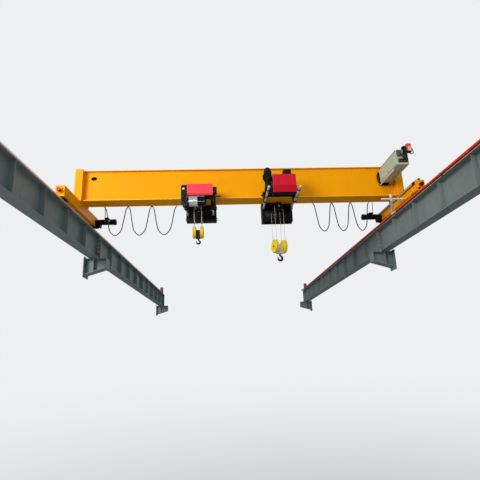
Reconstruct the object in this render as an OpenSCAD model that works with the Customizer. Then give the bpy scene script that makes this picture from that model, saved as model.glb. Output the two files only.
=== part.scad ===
// Single girder overhead bridge crane with two hoists, on its two runway beams and wall brackets.
// Inside the modules X runs along the span, Y along the runway and Z up, from mid span at rail head level.
// on_site() then shifts the whole model, so that the origin is on the face of a bracket's wall plate.

/* [Crane] */
// Distance between the rail centre lines
span = 8000; // [7600:50:8600]

/* [Girder] */
// Overall height of the box girder
girder_h = 815; // [760:5:900]
// Width of the bottom flange, which the hoists run on
girder_bottom_w = 385; // [370:1:400]
// Width of the top flange
girder_top_w = 320; // [290:5:350]
// Width over the outer faces of the two webs
girder_box_w = 220; // [200:2:240]
// Thickness of the webs
girder_web_t = 8; // [6:1:12]
// Thickness of the bottom flange
girder_bottom_t = 15; // [12:1:20]
// Thickness of the top flange
girder_top_t = 12; // [10:1:16]
// Length of the wide box at each end of the girder, along the span
end_box_l = 180; // [160:5:190]
// Width of the end boxes, along the runway
end_box_w = 500; // [460:10:560]
// Plate thickness of the end boxes
end_box_t = 10; // [8:1:14]
// Thickness of the saddle plate under each end box
saddle_t = 20; // [16:1:26]
// Length of the oval hand hole in the front web
hand_hole_l = 150; // [120:5:180]
// Height of the oval hand hole
hand_hole_h = 100; // [80:5:110]

/* [End trucks] */
// Width of an end truck
truck_w = 200; // [190:2:220]
// Length of an end truck
truck_l = 2080; // [2040:10:2200]
// Height of an end truck's box
truck_h = 250; // [240:2:280]
// Gap between the rail head and the underside of a truck
truck_gap = 30; // [20:1:40]
// Plate thickness of an end truck
truck_t = 12; // [10:1:16]
// Distance of the wheel axles from the ends of their truck
axle_inset = 190; // [180:5:230]
// Tread diameter of the travel wheels
wheel_d = 200; // [190:2:210]
// Width of the tread between the wheel's flanges
wheel_tread_w = 80; // [74:1:90]
// Thickness of a wheel flange
wheel_flange_t = 15; // [12:1:18]
// How far the wheel flanges reach below the rail head
wheel_flange_h = 15; // [10:1:20]
// Diameter of a travel wheel's axle
axle_d = 60; // [50:1:70]
// Diameter of the rubber buffers
buffer_d = 90; // [70:2:120]
// Length of the rubber buffers
buffer_l = 90; // [70:5:110]

/* [Runway] */
// Length of one runway beam, from bracket to bracket
bay_l = 10000; // [9500:100:10500]
// Distance of the middle brackets behind the girder
bracket_y = 1200; // [1000:50:1500]
// Depth of a runway beam
beam_h = 650; // [600:10:700]
// Flange width of a runway beam
beam_w = 260; // [240:5:280]
// Flange thickness of a runway beam
beam_flange_t = 16; // [12:1:20]
// Web thickness of a runway beam
beam_web_t = 10; // [8:1:14]
// Distance between the web stiffeners
stiffener_step = 1000; // [900:50:1250]
// Thickness of stiffeners and end plates
stiffener_t = 12; // [8:1:16]
// Height of the crane rail
rail_h = 134; // [120:1:140]
// Width of the rail's foot
rail_foot_w = 114; // [100:1:120]
// Width of the rail's head
rail_head_w = 68; // [60:1:72]
// Distance from a rail to the wall face that carries its brackets
wall_gap = 250; // [220:5:300]
// Length of a wall bracket, from the wall to its tip
bracket_l = 600; // [560:10:640]
// Width of a wall bracket's flanges
bracket_w = 250; // [220:5:280]
// Depth of a wall bracket at its tip
bracket_tip_h = 270; // [240:5:300]
// Depth of a wall bracket at the wall
bracket_root_h = 450; // [420:5:500]
// Plate thickness of a wall bracket
bracket_t = 16; // [12:1:20]
// Thickness of a bracket's wall plate
wall_plate_t = 20; // [16:1:30]
// Width of a bracket's wall plate
wall_plate_w = 340; // [320:5:380]
// Height of a bracket's wall plate
wall_plate_h = 560; // [540:5:620]
// Diameter of the anchor holes in a wall plate
anchor_d = 26; // [22:1:30]
// Height of the end stops above the runway beam
stop_h = 390; // [350:5:430]
// Length of an end stop along the runway
stop_l = 150; // [130:5:180]

/* [Power supply] */
// Height of the conductor bar
conductor_h = 60; // [50:1:70]
// Width of the conductor bar
conductor_w = 24; // [18:1:30]
// Distance of the conductor bar in front of its beam's flange edge
conductor_gap = 58; // [50:1:70]
// Length of the control cabinet, along the runway
cabinet_l = 890; // [800:10:950]
// Width of the control cabinet, along the span
cabinet_w = 290; // [240:5:310]
// Height of the control cabinet
cabinet_h = 360; // [320:5:400]
// Distance of the festoon track behind the girder's centre line
festoon_y = 560; // [545:5:600]
// Diameter of the festoon cables
festoon_d = 24; // [18:1:30]

/* [Hoists] */
// Place of the left hoist's centre along the span
left_x = -1050; // [-1100:10:-1000]
// Place of the right hoist's centre along the span
right_x = 930; // [900:10:980]
// Diameter of the trolley wheels
trolley_wheel_d = 120; // [100:2:130]
// Thickness of a trolley's side plates
trolley_plate_t = 15; // [12:1:20]
// Gap between the bottom flange and a trolley's side plate
trolley_gap = 13; // [10:1:16]
// Diameter of a trolley's tie bars
tie_bar_d = 50; // [44:1:56]
// Diameter of the left hoist's rope drum
left_drum_d = 240; // [220:2:250]
// Diameter of the right hoist's rope drum
right_drum_d = 300; // [280:2:310]
// Diameter of the wire ropes
rope_d = 10; // [8:1:12]
// Diameter of the left block's sheave guards
left_guard_d = 290; // [280:2:300]
// Diameter of the right block's sheave guards
right_guard_d = 340; // [330:2:350]

/* [Hidden] */

$fn = 48;
eps = 0.3;
run_fit = 0.05;

truck_z = truck_gap;
truck_top = truck_z + truck_h;
wheel_base = truck_l - 2 * axle_inset;
girder_z = truck_top + saddle_t;
girder_top = girder_z + girder_h;
flange_z = girder_z + girder_bottom_t;
girder_half = span / 2 + 60;
box_face = girder_half - end_box_l;
web_face = girder_box_w / 2;
flange_edge = girder_bottom_w / 2;
truck_in = span / 2 - truck_w / 2;

beam_top = -rail_h;
beam_z = beam_top - beam_h;
wall_x = span / 2 + wall_gap;
mount_z = beam_z - wall_plate_h / 2 + 40;
runway_near = bracket_y - bay_l;
runway_far = bracket_y + bay_l;

yellow = [0.97, 0.66, 0.03];
slate = [0.24, 0.28, 0.31];
steel = [0.62, 0.63, 0.64];
black = [0.07, 0.07, 0.08];
red = [0.80, 0.06, 0.13];

// Shifts the crane frame to the origin on the left middle bracket
module on_site() {
    translate([wall_x, -bracket_y, -mount_z]) children();
}

// A plate or block between two corners
module block(low, high) {
    translate(low) cube(high - low);
}

// An outline in X and Z, extruded along Y
module along_y(y0, y1) {
    translate([0, y1, 0]) rotate([90, 0, 0]) linear_extrude(y1 - y0) children();
}

// An outline in Y and Z, extruded along X
module along_x(x0, x1) {
    translate([x0, 0, 0]) rotate([90, 0, 90]) linear_extrude(x1 - x0) children();
}

// A round bar along X
module rod_x(x0, x1, y, z, d) {
    translate([x0, y, z]) rotate([0, 90, 0]) cylinder(d = d, h = x1 - x0);
}

// A round bar along Y
module rod_y(x, y0, y1, z, d) {
    translate([x, y1, z]) rotate([90, 0, 0]) cylinder(d = d, h = y1 - y0);
}

// Copies its children to the left side as they are, or mirrored to the right side
module on_side(side) {
    if (side < 0) children();
    else mirror([1, 0, 0]) children();
}

// Rings of a round bar swept along points, for cords and hooks
function unit(v) = v / norm(v);
function heading(p, i) = unit(p[min(i + 1, len(p) - 1)] - p[max(i - 1, 0)]);
function ring(p, r, t, side_ref, n) =
    let (u = unit(cross(t, side_ref)), v = cross(u, t))
    [for (k = [0 : n - 1]) p + r * cos(360 * k / n) * u + r * sin(360 * k / n) * v];

module swept(path, radii, side_ref, n) {
    m = len(path);
    pts = [for (i = [0 : m - 1]) each ring(path[i], radii[i], heading(path, i), side_ref, n)];
    walls = [for (i = [0 : m - 2]) for (k = [0 : n - 1])
        [i * n + k, i * n + (k + 1) % n, (i + 1) * n + (k + 1) % n, (i + 1) * n + k]];
    caps = [[for (k = [n - 1 : -1 : 0]) k], [for (k = [0 : n - 1]) (m - 1) * n + k]];
    polyhedron(pts, concat(walls, caps), convexity = 6);
}

// The I section of a runway beam, centred on its rail
module beam_section() {
    half = beam_w / 2;
    web = beam_web_t / 2;
    low = beam_z + beam_flange_t;
    high = beam_top - beam_flange_t;
    polygon([
        [-half, beam_z], [half, beam_z], [half, low], [web, low], [web, high], [half, high],
        [half, beam_top], [-half, beam_top], [-half, high], [-web, high], [-web, low], [-half, low]
    ]);
}

// One runway beam with its end plates and web stiffeners, on the left side
module runway_beam(y0) {
    rib_in = 8;
    translate([-span / 2, 0, 0]) union() {
        along_y(y0, y0 + bay_l) beam_section();
        for (y = [y0, y0 + bay_l - stiffener_t])
            block([-beam_w / 2, y, beam_z], [beam_w / 2, y + stiffener_t, beam_top]);
        for (y = [y0 + stiffener_step : stiffener_step : y0 + bay_l - stiffener_step / 2])
            block([-beam_w / 2 + rib_in, y - stiffener_t / 2, beam_z + beam_flange_t / 2],
                [beam_w / 2 - rib_in, y + stiffener_t / 2, beam_top - beam_flange_t / 2]);
    }
}

module runway_beams_near() {
    color(slate) on_site() for (side = [-1, 1]) on_side(side) runway_beam(runway_near);
}

module runway_beams_far() {
    color(slate) on_site() for (side = [-1, 1]) on_side(side) runway_beam(bracket_y);
}

// A crane rail's section: foot, web and head
module rail_section() {
    foot = rail_foot_w / 2;
    head = rail_head_w / 2;
    web = 8;
    foot_edge = 10;
    foot_rise = 24;
    head_low = 38;
    head_edge = 30;
    crown = 4;
    polygon([
        [-foot, -rail_h], [foot, -rail_h], [foot, foot_edge - rail_h], [web, foot_rise - rail_h],
        [web, -head_low], [head, -head_edge], [head, -crown], [head - crown, 0],
        [crown - head, 0], [-head, -crown], [-head, -head_edge], [-web, -head_low],
        [-web, foot_rise - rail_h], [-foot, foot_edge - rail_h]
    ]);
}

module rails() {
    color(steel) on_site() for (side = [-1, 1])
        translate([side * span / 2, 0, 0])
            along_y(runway_near + stop_l, runway_far - stop_l) rail_section();
}

// A tapered wall bracket under one beam joint, on the left side
module wall_bracket(y) {
    tip_x = bracket_l - wall_gap;
    root_x = wall_plate_t - wall_gap;
    top = beam_z;
    slope = (bracket_root_h - bracket_tip_h) / (bracket_l - wall_plate_t);
    anchor_y = wall_plate_w / 2 - 45;
    anchor_z = wall_plate_h / 2 - 60;
    translate([-span / 2, y, 0]) {
        difference() {
            block([-wall_gap, -wall_plate_w / 2, mount_z - wall_plate_h / 2],
                [root_x, wall_plate_w / 2, mount_z + wall_plate_h / 2]);
            for (dy = [-anchor_y, anchor_y]) for (dz = [-anchor_z, anchor_z])
                rod_x(-wall_gap - 1, root_x + 1, dy, mount_z + dz, anchor_d);
        }
        along_y(-bracket_w / 2, bracket_w / 2)
            polygon([[root_x, top - bracket_t], [tip_x, top - bracket_t], [tip_x, top], [root_x, top]]);
        along_y(-bracket_w / 2, bracket_w / 2)
            polygon([
                [root_x, top - bracket_root_h], [tip_x, top - bracket_tip_h],
                [tip_x, top - bracket_tip_h + bracket_t], [root_x, top - bracket_root_h + bracket_t]
            ]);
        along_y(-bracket_t / 2, bracket_t / 2)
            polygon([[root_x, top - bracket_root_h + bracket_t / 2],
                [tip_x - bracket_t, top - bracket_tip_h + bracket_t / 2],
                [tip_x - bracket_t, top - bracket_t / 2], [root_x, top - bracket_t / 2]]);
        along_y(-bracket_w / 2 + 5, bracket_w / 2 - 5)
            polygon([[-bracket_t / 2, top - bracket_root_h + slope * -root_x + bracket_t / 2],
                [bracket_t / 2, top - bracket_root_h + slope * (bracket_t - root_x) + bracket_t / 2],
                [bracket_t / 2, top - bracket_t / 2], [-bracket_t / 2, top - bracket_t / 2]]);
        along_y(-bracket_w / 2, bracket_w / 2)
            polygon([[tip_x - bracket_t, top - bracket_tip_h], [tip_x, top - bracket_tip_h],
                [tip_x, top - bracket_t / 2], [tip_x - bracket_t, top - bracket_t / 2]]);
    }
}

module wall_brackets() {
    color(slate) on_site() for (side = [-1, 1]) on_side(side)
        for (y = [runway_near + wall_plate_w / 2, bracket_y, runway_far - wall_plate_w / 2])
            wall_bracket(y);
}

// An end stop on the runway beam: a face plate with two gussets behind it, towards -Y
module end_stop() {
    face_w = 160;
    face_t = 16;
    gusset_t = 12;
    gusset_x = 50;
    base_t = 16;
    block([-face_w / 2, 0, 0], [face_w / 2, stop_l, base_t]);
    block([-face_w / 2, stop_l - face_t, base_t], [face_w / 2, stop_l, stop_h]);
    for (x = [-gusset_x, gusset_x])
        along_x(x - gusset_t / 2, x + gusset_t / 2)
            polygon([[0, base_t], [stop_l - face_t, base_t], [stop_l - face_t, stop_h],
                [stop_l - face_t - 30, stop_h], [0, base_t + 80]]);
}

module end_stops() {
    color(black) on_site() for (side = [-1, 1]) {
        translate([side * span / 2, runway_near, beam_top]) end_stop();
        translate([side * span / 2, runway_far, beam_top]) mirror([0, 1, 0]) end_stop();
    }
}

conductor_x = span / 2 - beam_w / 2 - conductor_gap;
conductor_z = beam_top - 20;

module conductor_bar() {
    lip = 6;
    color(red) on_site() translate([conductor_x, 0, conductor_z])
        along_y(runway_near, runway_far)
            polygon([
                [-conductor_w / 2, 0], [-conductor_w / 2 + lip, 0], [-conductor_w / 2 + lip, lip],
                [conductor_w / 2 - lip, lip], [conductor_w / 2 - lip, 0], [conductor_w / 2, 0],
                [conductor_w / 2, conductor_h], [-conductor_w / 2, conductor_h]
            ]);
}

// The clips that carry the conductor bar on the right beam's flange
module conductor_hangers() {
    clip_w = 50;
    clip_t = 6;
    clip_steps = 12;
    clip_first = 400;
    lip = 5;
    side_x = conductor_x + conductor_w / 2;
    foot_x = span / 2 - rail_foot_w / 2 - 10;
    high = conductor_z + conductor_h - lip;
    step = 2 * (bay_l - clip_first) / clip_steps;
    color(steel) on_site()
        for (i = [0 : clip_steps]) translate([0, runway_near + clip_first + i * step, 0]) {
            block([side_x, -clip_w / 2, beam_top], [foot_x, clip_w / 2, beam_top + clip_t]);
            block([side_x, -clip_w / 2, conductor_z + lip], [side_x + clip_t, clip_w / 2, high]);
        }
}

module girder_bottom_flange() {
    color(yellow) on_site()
        block([-box_face, -girder_bottom_w / 2, girder_z], [box_face, girder_bottom_w / 2, flange_z]);
}

module girder_top_flange() {
    color(yellow) on_site() block([-box_face, -girder_top_w / 2, girder_top - girder_top_t],
        [box_face, girder_top_w / 2, girder_top]);
}

hand_hole_x = 230 - box_face;
hand_hole_z = girder_top - 200;

module girder_web() {
    block([-box_face, web_face - girder_web_t, flange_z], [box_face, web_face, girder_top - girder_top_t]);
}

module girder_web_front() {
    flat = (hand_hole_l - hand_hole_h) / 2;
    color(yellow) on_site() difference() {
        mirror([0, 1, 0]) girder_web();
        for (x = [hand_hole_x - flat, hand_hole_x + flat])
            rod_y(x, -web_face - 1, -web_face + girder_web_t + 1, hand_hole_z, hand_hole_h);
        block([hand_hole_x - flat, -web_face - 1, hand_hole_z - hand_hole_h / 2],
            [hand_hole_x + flat, -web_face + girder_web_t + 1, hand_hole_z + hand_hole_h / 2]);
    }
}

module girder_web_rear() {
    color(yellow) on_site() girder_web();
}

// The wide box at the girder's left end, open to the outside, on its saddle plate
module girder_end() {
    half_w = end_box_w / 2;
    low = girder_z;
    high = girder_top;
    rib_z = (low + high) / 2;
    inner_x = -box_face - end_box_t;
    block([-girder_half, -half_w, truck_top], [-box_face, half_w, low]);
    block([inner_x, -half_w, low], [-box_face, half_w, high]);
    for (y = [-half_w, half_w - end_box_t])
        block([-girder_half, y, low], [inner_x, y + end_box_t, high - end_box_t]);
    block([-girder_half, -half_w, high - end_box_t], [inner_x, half_w, high]);
    block([-girder_half, -half_w + end_box_t, rib_z], [inner_x, half_w - end_box_t, rib_z + end_box_t]);
}

module girder_ends() {
    color(yellow) on_site() for (side = [-1, 1]) on_side(side) girder_end();
}

// An end truck's box, with its wheel slots and axle bores, on the left side
module end_truck() {
    half = truck_w / 2;
    plate_t = 16;
    slot_l = wheel_d + 2 * wheel_flange_h + 30;
    slot_w = wheel_tread_w + 2 * wheel_flange_t + 16;
    translate([-span / 2, 0, 0]) difference() {
        block([-half, -truck_l / 2, truck_z], [half, truck_l / 2, truck_top]);
        block([-half + truck_t, -truck_l / 2 + plate_t, truck_z + truck_t],
            [half - truck_t, truck_l / 2 - plate_t, truck_top - truck_t]);
        for (y = [-wheel_base / 2, wheel_base / 2]) {
            block([-slot_w / 2, y - slot_l / 2, truck_z - 1],
                [slot_w / 2, y + slot_l / 2, truck_z + truck_t + 1]);
            rod_x(-half - 1, half + 1, y, wheel_d / 2 + eps, axle_d + 2 * run_fit);
        }
    }
}

module end_trucks() {
    color(yellow) on_site() for (side = [-1, 1]) on_side(side) end_truck();
}

module buffers() {
    plate_t = 12;
    plate_w = 120;
    z = truck_z + truck_h / 2;
    color(black) on_site() for (side = [-1, 1]) for (front = [0, 1])
        translate([side * span / 2, 0, z]) mirror([0, front, 0]) translate([0, truck_l / 2, 0]) {
            block([-plate_w / 2, eps, -plate_w / 2], [plate_w / 2, plate_t, plate_w / 2]);
            rod_y(0, plate_t - 1, buffer_l, 0, buffer_d);
        }
}

// A flanged travel wheel with its axle, on the left side
module travel_wheel(y) {
    flange_d = wheel_d + 2 * wheel_flange_h;
    half = wheel_tread_w / 2;
    web_d = wheel_d - 50;
    z = wheel_d / 2 + eps;
    translate([-span / 2, 0, 0]) union() {
        rod_x(-truck_w / 2 + 2, truck_w / 2 - 2, y, z, axle_d);
        difference() {
            rod_x(-half - wheel_flange_t, half + wheel_flange_t, y, z, flange_d);
            difference() {
                rod_x(-half, half, y, z, flange_d + 2);
                rod_x(-half, half, y, z, wheel_d);
            }
            for (x = [-half - wheel_flange_t - 1, half]) difference() {
                rod_x(x, x + wheel_flange_t + 1, y, z, web_d);
                rod_x(x, x + wheel_flange_t + 1, y, z, axle_d + 40);
            }
        }
    }
}

module travel_wheel_left_front() {
    color(steel) on_site() travel_wheel(-wheel_base / 2);
}

module travel_wheel_left_rear() {
    color(steel) on_site() travel_wheel(wheel_base / 2);
}

module travel_wheel_right_front() {
    color(steel) on_site() mirror([1, 0, 0]) travel_wheel(-wheel_base / 2);
}

module travel_wheel_right_rear() {
    color(steel) on_site() mirror([1, 0, 0]) travel_wheel(wheel_base / 2);
}

// A travel drive on a truck's inner face, on the left side: a gearbox and its motor
motor_z = wheel_d / 2 + 45;
drive_box_w = 110;
drive_box_x = 230 - truck_in;
module travel_drive() {
    gear_t = 130;
    gear_r = 85;
    low_r = 70;
    gear_z = motor_z - 10;
    low_z = motor_z - 100;
    motor_d = 150;
    motor_l = 330;
    cowl_d = 162;
    cowl_l = 70;
    box_h = 115;
    face = -truck_in;
    motor_x = face + gear_t;
    cowl_x = motor_x + motor_l;
    y = wheel_base / 2;
    rod_x(face, motor_x, y, gear_z, 2 * gear_r);
    rod_x(face, motor_x, y, low_z, 2 * low_r);
    block([face, y - low_r, low_z], [motor_x, y + low_r, gear_z]);
    rod_x(motor_x, cowl_x, y, motor_z, motor_d);
    rod_x(cowl_x, cowl_x + cowl_l, y, motor_z, cowl_d);
    block([drive_box_x, y - drive_box_w / 2, motor_z],
        [drive_box_x + drive_box_w, y + drive_box_w / 2, motor_z + box_h]);
}

module travel_drives() {
    color(black) on_site() for (side = [-1, 1]) on_side(side) travel_drive();
}

cabinet_room = 75;
cabinet_x = box_face - cabinet_w - cabinet_room;
cabinet_y = -170;
cabinet_z = girder_z + 360;

module control_cabinet() {
    door_t = 18;
    door_in = 12;
    color([0.76, 0.72, 0.58]) on_site() {
        block([cabinet_x + door_t, cabinet_y - cabinet_l, cabinet_z],
            [cabinet_x + cabinet_w, cabinet_y, cabinet_z + cabinet_h]);
        block([cabinet_x, cabinet_y - cabinet_l + door_in, cabinet_z + door_in],
            [cabinet_x + door_t, cabinet_y - door_in, cabinet_z + cabinet_h - door_in]);
    }
}

// Two angle arms from the front web carry the cabinet, with a back plate on the web
module cabinet_bracket() {
    arm_w = 50;
    arm_t = 10;
    plate_t = 10;
    inset = 10;
    plate_y = -web_face - plate_t;
    far_x = cabinet_x + cabinet_w;
    reach = cabinet_y - 0.8 * cabinet_l;
    color(black) on_site() {
        block([cabinet_x, plate_y, cabinet_z - arm_w], [far_x, -web_face, cabinet_z + cabinet_h - arm_w]);
        block([cabinet_x, cabinet_y, cabinet_z], [far_x, plate_y, cabinet_z + arm_w]);
        for (x = [cabinet_x + inset, far_x - arm_w - inset]) {
            block([x, reach, cabinet_z - arm_t], [x + arm_w, plate_y, cabinet_z]);
            block([x, reach, cabinet_z - arm_w], [x + arm_t, plate_y, cabinet_z - arm_t]);
        }
    }
}

// The signal: a horn on the cabinet's outer top edge, and a lamp beside it, out past the cabinet
module warning_signal() {
    w = 110;
    d = 70;
    horn_h = 120;
    lamp_w = 120;
    lamp_low = -25;
    lamp_high = 185;
    gap = 4;
    rim = 10;
    x = cabinet_x + cabinet_w - w;
    y = cabinet_y - cabinet_l + rim;
    z = cabinet_z + cabinet_h;
    lamp_x = x + w + gap;
    color(red) on_site() {
        block([x, y, z], [x + w, y + d, z + horn_h]);
        block([x + w - 1, y + rim, z + rim], [lamp_x + 1, y + d - rim, z + horn_h - rim]);
        block([lamp_x, y - rim, z + lamp_low], [lamp_x + lamp_w, y + d + rim, z + lamp_high]);
    }
}

// A round strut between two points
module strut(from, to, d) {
    run = to - from;
    translate(from) rotate([0, acos(run[2] / norm(run)), atan2(run[1], run[0])])
        cylinder(d = d, h = norm(run));
}

// The collector: an arm on the truck's inner face with a post, and a strut that tows the shoe at the bar
collector_y = -500;
collector_shoe_y = -100;
module collector() {
    arm = 40;
    arm_l = 590;
    arm_z = truck_z + 10;
    post_d = 46;
    post_x = truck_in - 340;
    post_low = arm_z - 30;
    post_high = arm_z + 150;
    strut_d = 36;
    shoe = [40, 160, 50];
    shoe_gap = 5;
    shoe_x = conductor_x - conductor_w / 2 - shoe_gap - shoe[0];
    shoe_z = conductor_z + 5;
    front = collector_y - arm / 2;
    head = [post_x, collector_y, arm_z + arm / 2];
    foot = [shoe_x + shoe[0] / 2, collector_shoe_y, shoe_z + shoe[2] / 2];
    color(steel) on_site() {
        block([truck_in - arm_l, front, arm_z], [truck_in, front + arm, arm_z + arm]);
        translate([post_x, collector_y, post_low]) cylinder(d = post_d, h = post_high - post_low);
        strut(head, foot, strut_d);
        translate([shoe_x, collector_shoe_y - shoe[1] / 2, shoe_z]) cube(shoe);
    }
}

// The festoon: a track behind the girder, carriers on it, and a cable that hangs in loops between them
track_z = girder_z + 260;
track_h = 40;
track_w = 40;
carrier_h = 60;
carrier_w = 50;
saddle_r = 30;
left_loop = 620;
left_end_x = 400 - span / 2;
left_outer_x = left_end_x + left_loop;
left_inner_x = left_outer_x + left_loop;
left_tow_x = left_x - 650;
right_loop = 510;
right_end_x = span / 2 - 520;
right_outer_x = right_end_x - right_loop;
right_inner_x = right_outer_x - right_loop;
right_tow_x = right_x + 1010;
saddle_z = track_z - carrier_h;

track_wall = 4;
module festoon_track() {
    slot = 14;
    bracket_w = 50;
    bracket_t = 30;
    reach = span / 2 - 280;
    bracket_step = (reach - 120) / 2;
    color(steel) on_site() {
        along_x(-reach, reach) translate([festoon_y, track_z]) difference() {
            translate([-track_w / 2, 0]) square([track_w, track_h]);
            translate([-track_w / 2 + track_wall, track_wall])
                square([track_w - 2 * track_wall, track_h - 2 * track_wall]);
            translate([-slot / 2, -1]) square([slot, track_wall + 2]);
        }
        for (x = [-2 * bracket_step : bracket_step : 2 * bracket_step])
            block([x - bracket_w / 2, web_face + eps, track_z + track_h - 1],
                [x + bracket_w / 2, festoon_y + track_w / 2, track_z + track_h + bracket_t]);
        for (x = [left_end_x, right_end_x]) carrier(x, -1);
    }
}

// The half round saddle that clamps the cable, under a carrier or a tow arm
module cable_saddle() {
    translate([0, festoon_y, 0]) intersection() {
        rod_y(0, -festoon_d / 2, festoon_d / 2, saddle_z - saddle_r, 2 * saddle_r);
        block([-saddle_r, -festoon_d / 2, saddle_z - saddle_r], [saddle_r, festoon_d / 2, saddle_z]);
    }
}

// A carrier with its foot in the track, rise above the track's lips, and the saddle below
module carrier(x, rise) {
    stem = 8;
    foot_h = 8;
    foot_w = 26;
    foot_z = track_z + track_wall + rise;
    half = carrier_w / 2;
    translate([x, 0, 0]) {
        block([-half, festoon_y - foot_w / 2, foot_z], [half, festoon_y + foot_w / 2, foot_z + foot_h]);
        block([-half, festoon_y - stem / 2, saddle_z - stem], [half, festoon_y + stem / 2, foot_z + 1]);
        cable_saddle();
    }
}

module carrier_left_outer() {
    color(steel) on_site() carrier(left_outer_x, eps);
}

module carrier_left_inner() {
    color(steel) on_site() carrier(left_inner_x, eps);
}

module carrier_right_inner() {
    color(steel) on_site() carrier(right_inner_x, eps);
}

module carrier_right_outer() {
    color(steel) on_site() carrier(right_outer_x, eps);
}

// One hanging loop: shares of the way along X and drops below the saddles' tops
loop_points = [
    [0.07, -60], [0.13, -230], [0.19, -460], [0.29, -690],
    [0.50, -800], [0.71, -690], [0.81, -460], [0.87, -230], [0.93, -60]
];

// The cable lies under the saddles' crowns, a clearance below them
function loop_run(x0, x1) = [for (p = loop_points) [x0 + (x1 - x0) * p[0], festoon_y, cord_z + p[1]]];
function over(x) = [[x, festoon_y, cord_z]];
cord_z = saddle_z - saddle_r - festoon_d / 2 - eps;

module festoon_cable(path) {
    swept(path, [for (p = path) festoon_d / 2], [0, 1, 0], 8);
}

module festoon_cable_left() {
    color(black) on_site() festoon_cable(concat(
        over(left_end_x), loop_run(left_end_x, left_outer_x),
        over(left_outer_x), loop_run(left_outer_x, left_inner_x),
        over(left_inner_x), loop_run(left_inner_x, left_tow_x), over(left_tow_x)));
}

module festoon_cable_right() {
    color(black) on_site() festoon_cable(concat(
        over(right_end_x), loop_run(right_end_x, right_outer_x),
        over(right_outer_x), loop_run(right_outer_x, right_inner_x),
        over(right_inner_x), loop_run(right_inner_x, right_tow_x), over(right_tow_x)));
}

// The two cables that hang from the track's ends to the travel drives. Each point is a distance from
// the truck, a share of the way along Y to the drive's box, and a share of the way up to the track.
drive_cable_d = 16;
drive_cable_route = [
    [310, 0, 1], [309, 0.023, 0.812], [307, 0.086, 0.561], [303, 0.192, 0.263],
    [298, 0.323, 0.011], [293, 0.483, -0.137], [289, 0.648, -0.153], [286, 0.784, -0.062],
    [285, 0.875, 0.092], [285, 0.94, 0.183], [285, 1, 0.183]
];
drive_cable_from = [festoon_y + track_w / 2 + drive_cable_d / 2 + eps, track_z + 22];
drive_cable_to = wheel_base / 2 - drive_box_w / 2 - eps;
function drive_cable_point(p) = [
    p[0] - truck_in,
    drive_cable_from[0] + p[1] * (drive_cable_to - drive_cable_from[0]),
    motor_z + p[2] * (drive_cable_from[1] - motor_z)
];

module drive_cables() {
    path = [for (p = drive_cable_route) drive_cable_point(p)];
    color(black) on_site() for (side = [-1, 1]) on_side(side)
        swept(path, [for (p = path) drive_cable_d / 2], [1, 0, 0], 8);
}

// Hoists. Inside these modules X starts at the hoist's centre and Z at the girder's underside.
module at_left() {
    on_site() translate([left_x, 0, girder_z]) children();
}

module at_right() {
    on_site() translate([right_x, 0, girder_z]) children();
}

plate_in = flange_edge + trolley_gap;
plate_out = plate_in + trolley_plate_t;
bar_out = plate_out + 25;
axle_z = girder_bottom_t + trolley_wheel_d / 2 + eps;
wheel_x = 290;
left_ends = [-405, 400];
left_bars = [-321, 320];
left_bar_z = -270;
right_ends = [-430, 435];
right_bars = [-370, 345];
right_bar_z = -108;

// A trolley's two side plates beside the bottom flange, each with two legs down to the tie bars
module side_plates(ends, bars, bar_z) {
    low = 5;
    high = 155;
    cut = 35;
    leg = 45;
    for (side = [0, 1]) mirror([0, side, 0]) along_y(-plate_out, -plate_in) {
        polygon([
            [ends[0], low], [ends[1], low], [ends[1], high - cut], [ends[1] - cut, high],
            [ends[0] + cut, high], [ends[0], high - cut]
        ]);
        for (x = bars) translate([x - leg, bar_z - leg]) square([2 * leg, low - bar_z + leg + 1]);
    }
}

// Two tie bars across the girder, with a collar on each side plate
module tie_bars(bars, bar_z, y0, y1) {
    collar_l = 20;
    for (x = bars) {
        rod_y(x, y0, y1, bar_z, tie_bar_d);
        for (side = [0, 1]) mirror([0, side, 0])
            rod_y(x, -plate_out - collar_l, -plate_out + 1, bar_z, tie_bar_d + 26);
    }
}

// Rubber buffer rods on the ends of the front side plate
module buffer_rod(x0, x1) {
    rod_x(x0, x1, -(plate_in + plate_out) / 2, 45, 34);
}

// Four wheels on the bottom flange, each on a stub axle beside its side plate
module trolley_wheels() {
    tread_w = 42;
    hub_d = 64;
    dish = 6;
    rim = 16;
    outer = flange_edge + 2;
    for (x = [-wheel_x, wheel_x]) for (side = [0, 1]) mirror([0, side, 0]) {
        rod_y(x, -plate_in + eps, -outer, axle_z, trolley_wheel_d / 3);
        difference() {
            rod_y(x, -outer, -outer + tread_w, axle_z, trolley_wheel_d);
            difference() {
                rod_y(x, -outer - 1, -outer + dish, axle_z, trolley_wheel_d - 2 * rim);
                rod_y(x, -outer - 2, -outer + dish + 1, axle_z, hub_d);
            }
        }
    }
}

// The sheave that joins two rope falls at +-r along X. Its pin sits in two cheeks on straps, which
// run from tie bar to tie bar at the height bar_rise above the pin.
module equalizer(r, x0, x1, bar_rise) {
    half_w = 10;
    flank = 9;
    pin_d = 30;
    cheek_t = 8;
    cheek_w = 90;
    cheek_h = 28;
    cheek_y = half_w + 2;
    strap_low = bar_rise - tie_bar_d / 2;
    strap_high = bar_rise + tie_bar_d / 2;
    root = r - rope_d / 2 - eps;
    rotate([90, 0, 0]) rotate_extrude()
        polygon([[0, -half_w], [root + flank, -half_w], [root, -rope_d / 4], [root, rope_d / 4],
            [root + flank, half_w], [0, half_w]]);
    rod_y(0, -cheek_y - cheek_t - 4, cheek_y + cheek_t + 4, 0, pin_d);
    for (y = [-cheek_y - cheek_t, cheek_y]) {
        block([x0, y, strap_low], [x1, y + cheek_t, strap_high]);
        block([-cheek_w / 2, y, min(strap_low, -cheek_h)],
            [cheek_w / 2, y + cheek_t, max(strap_high, cheek_h)]);
    }
}

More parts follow.
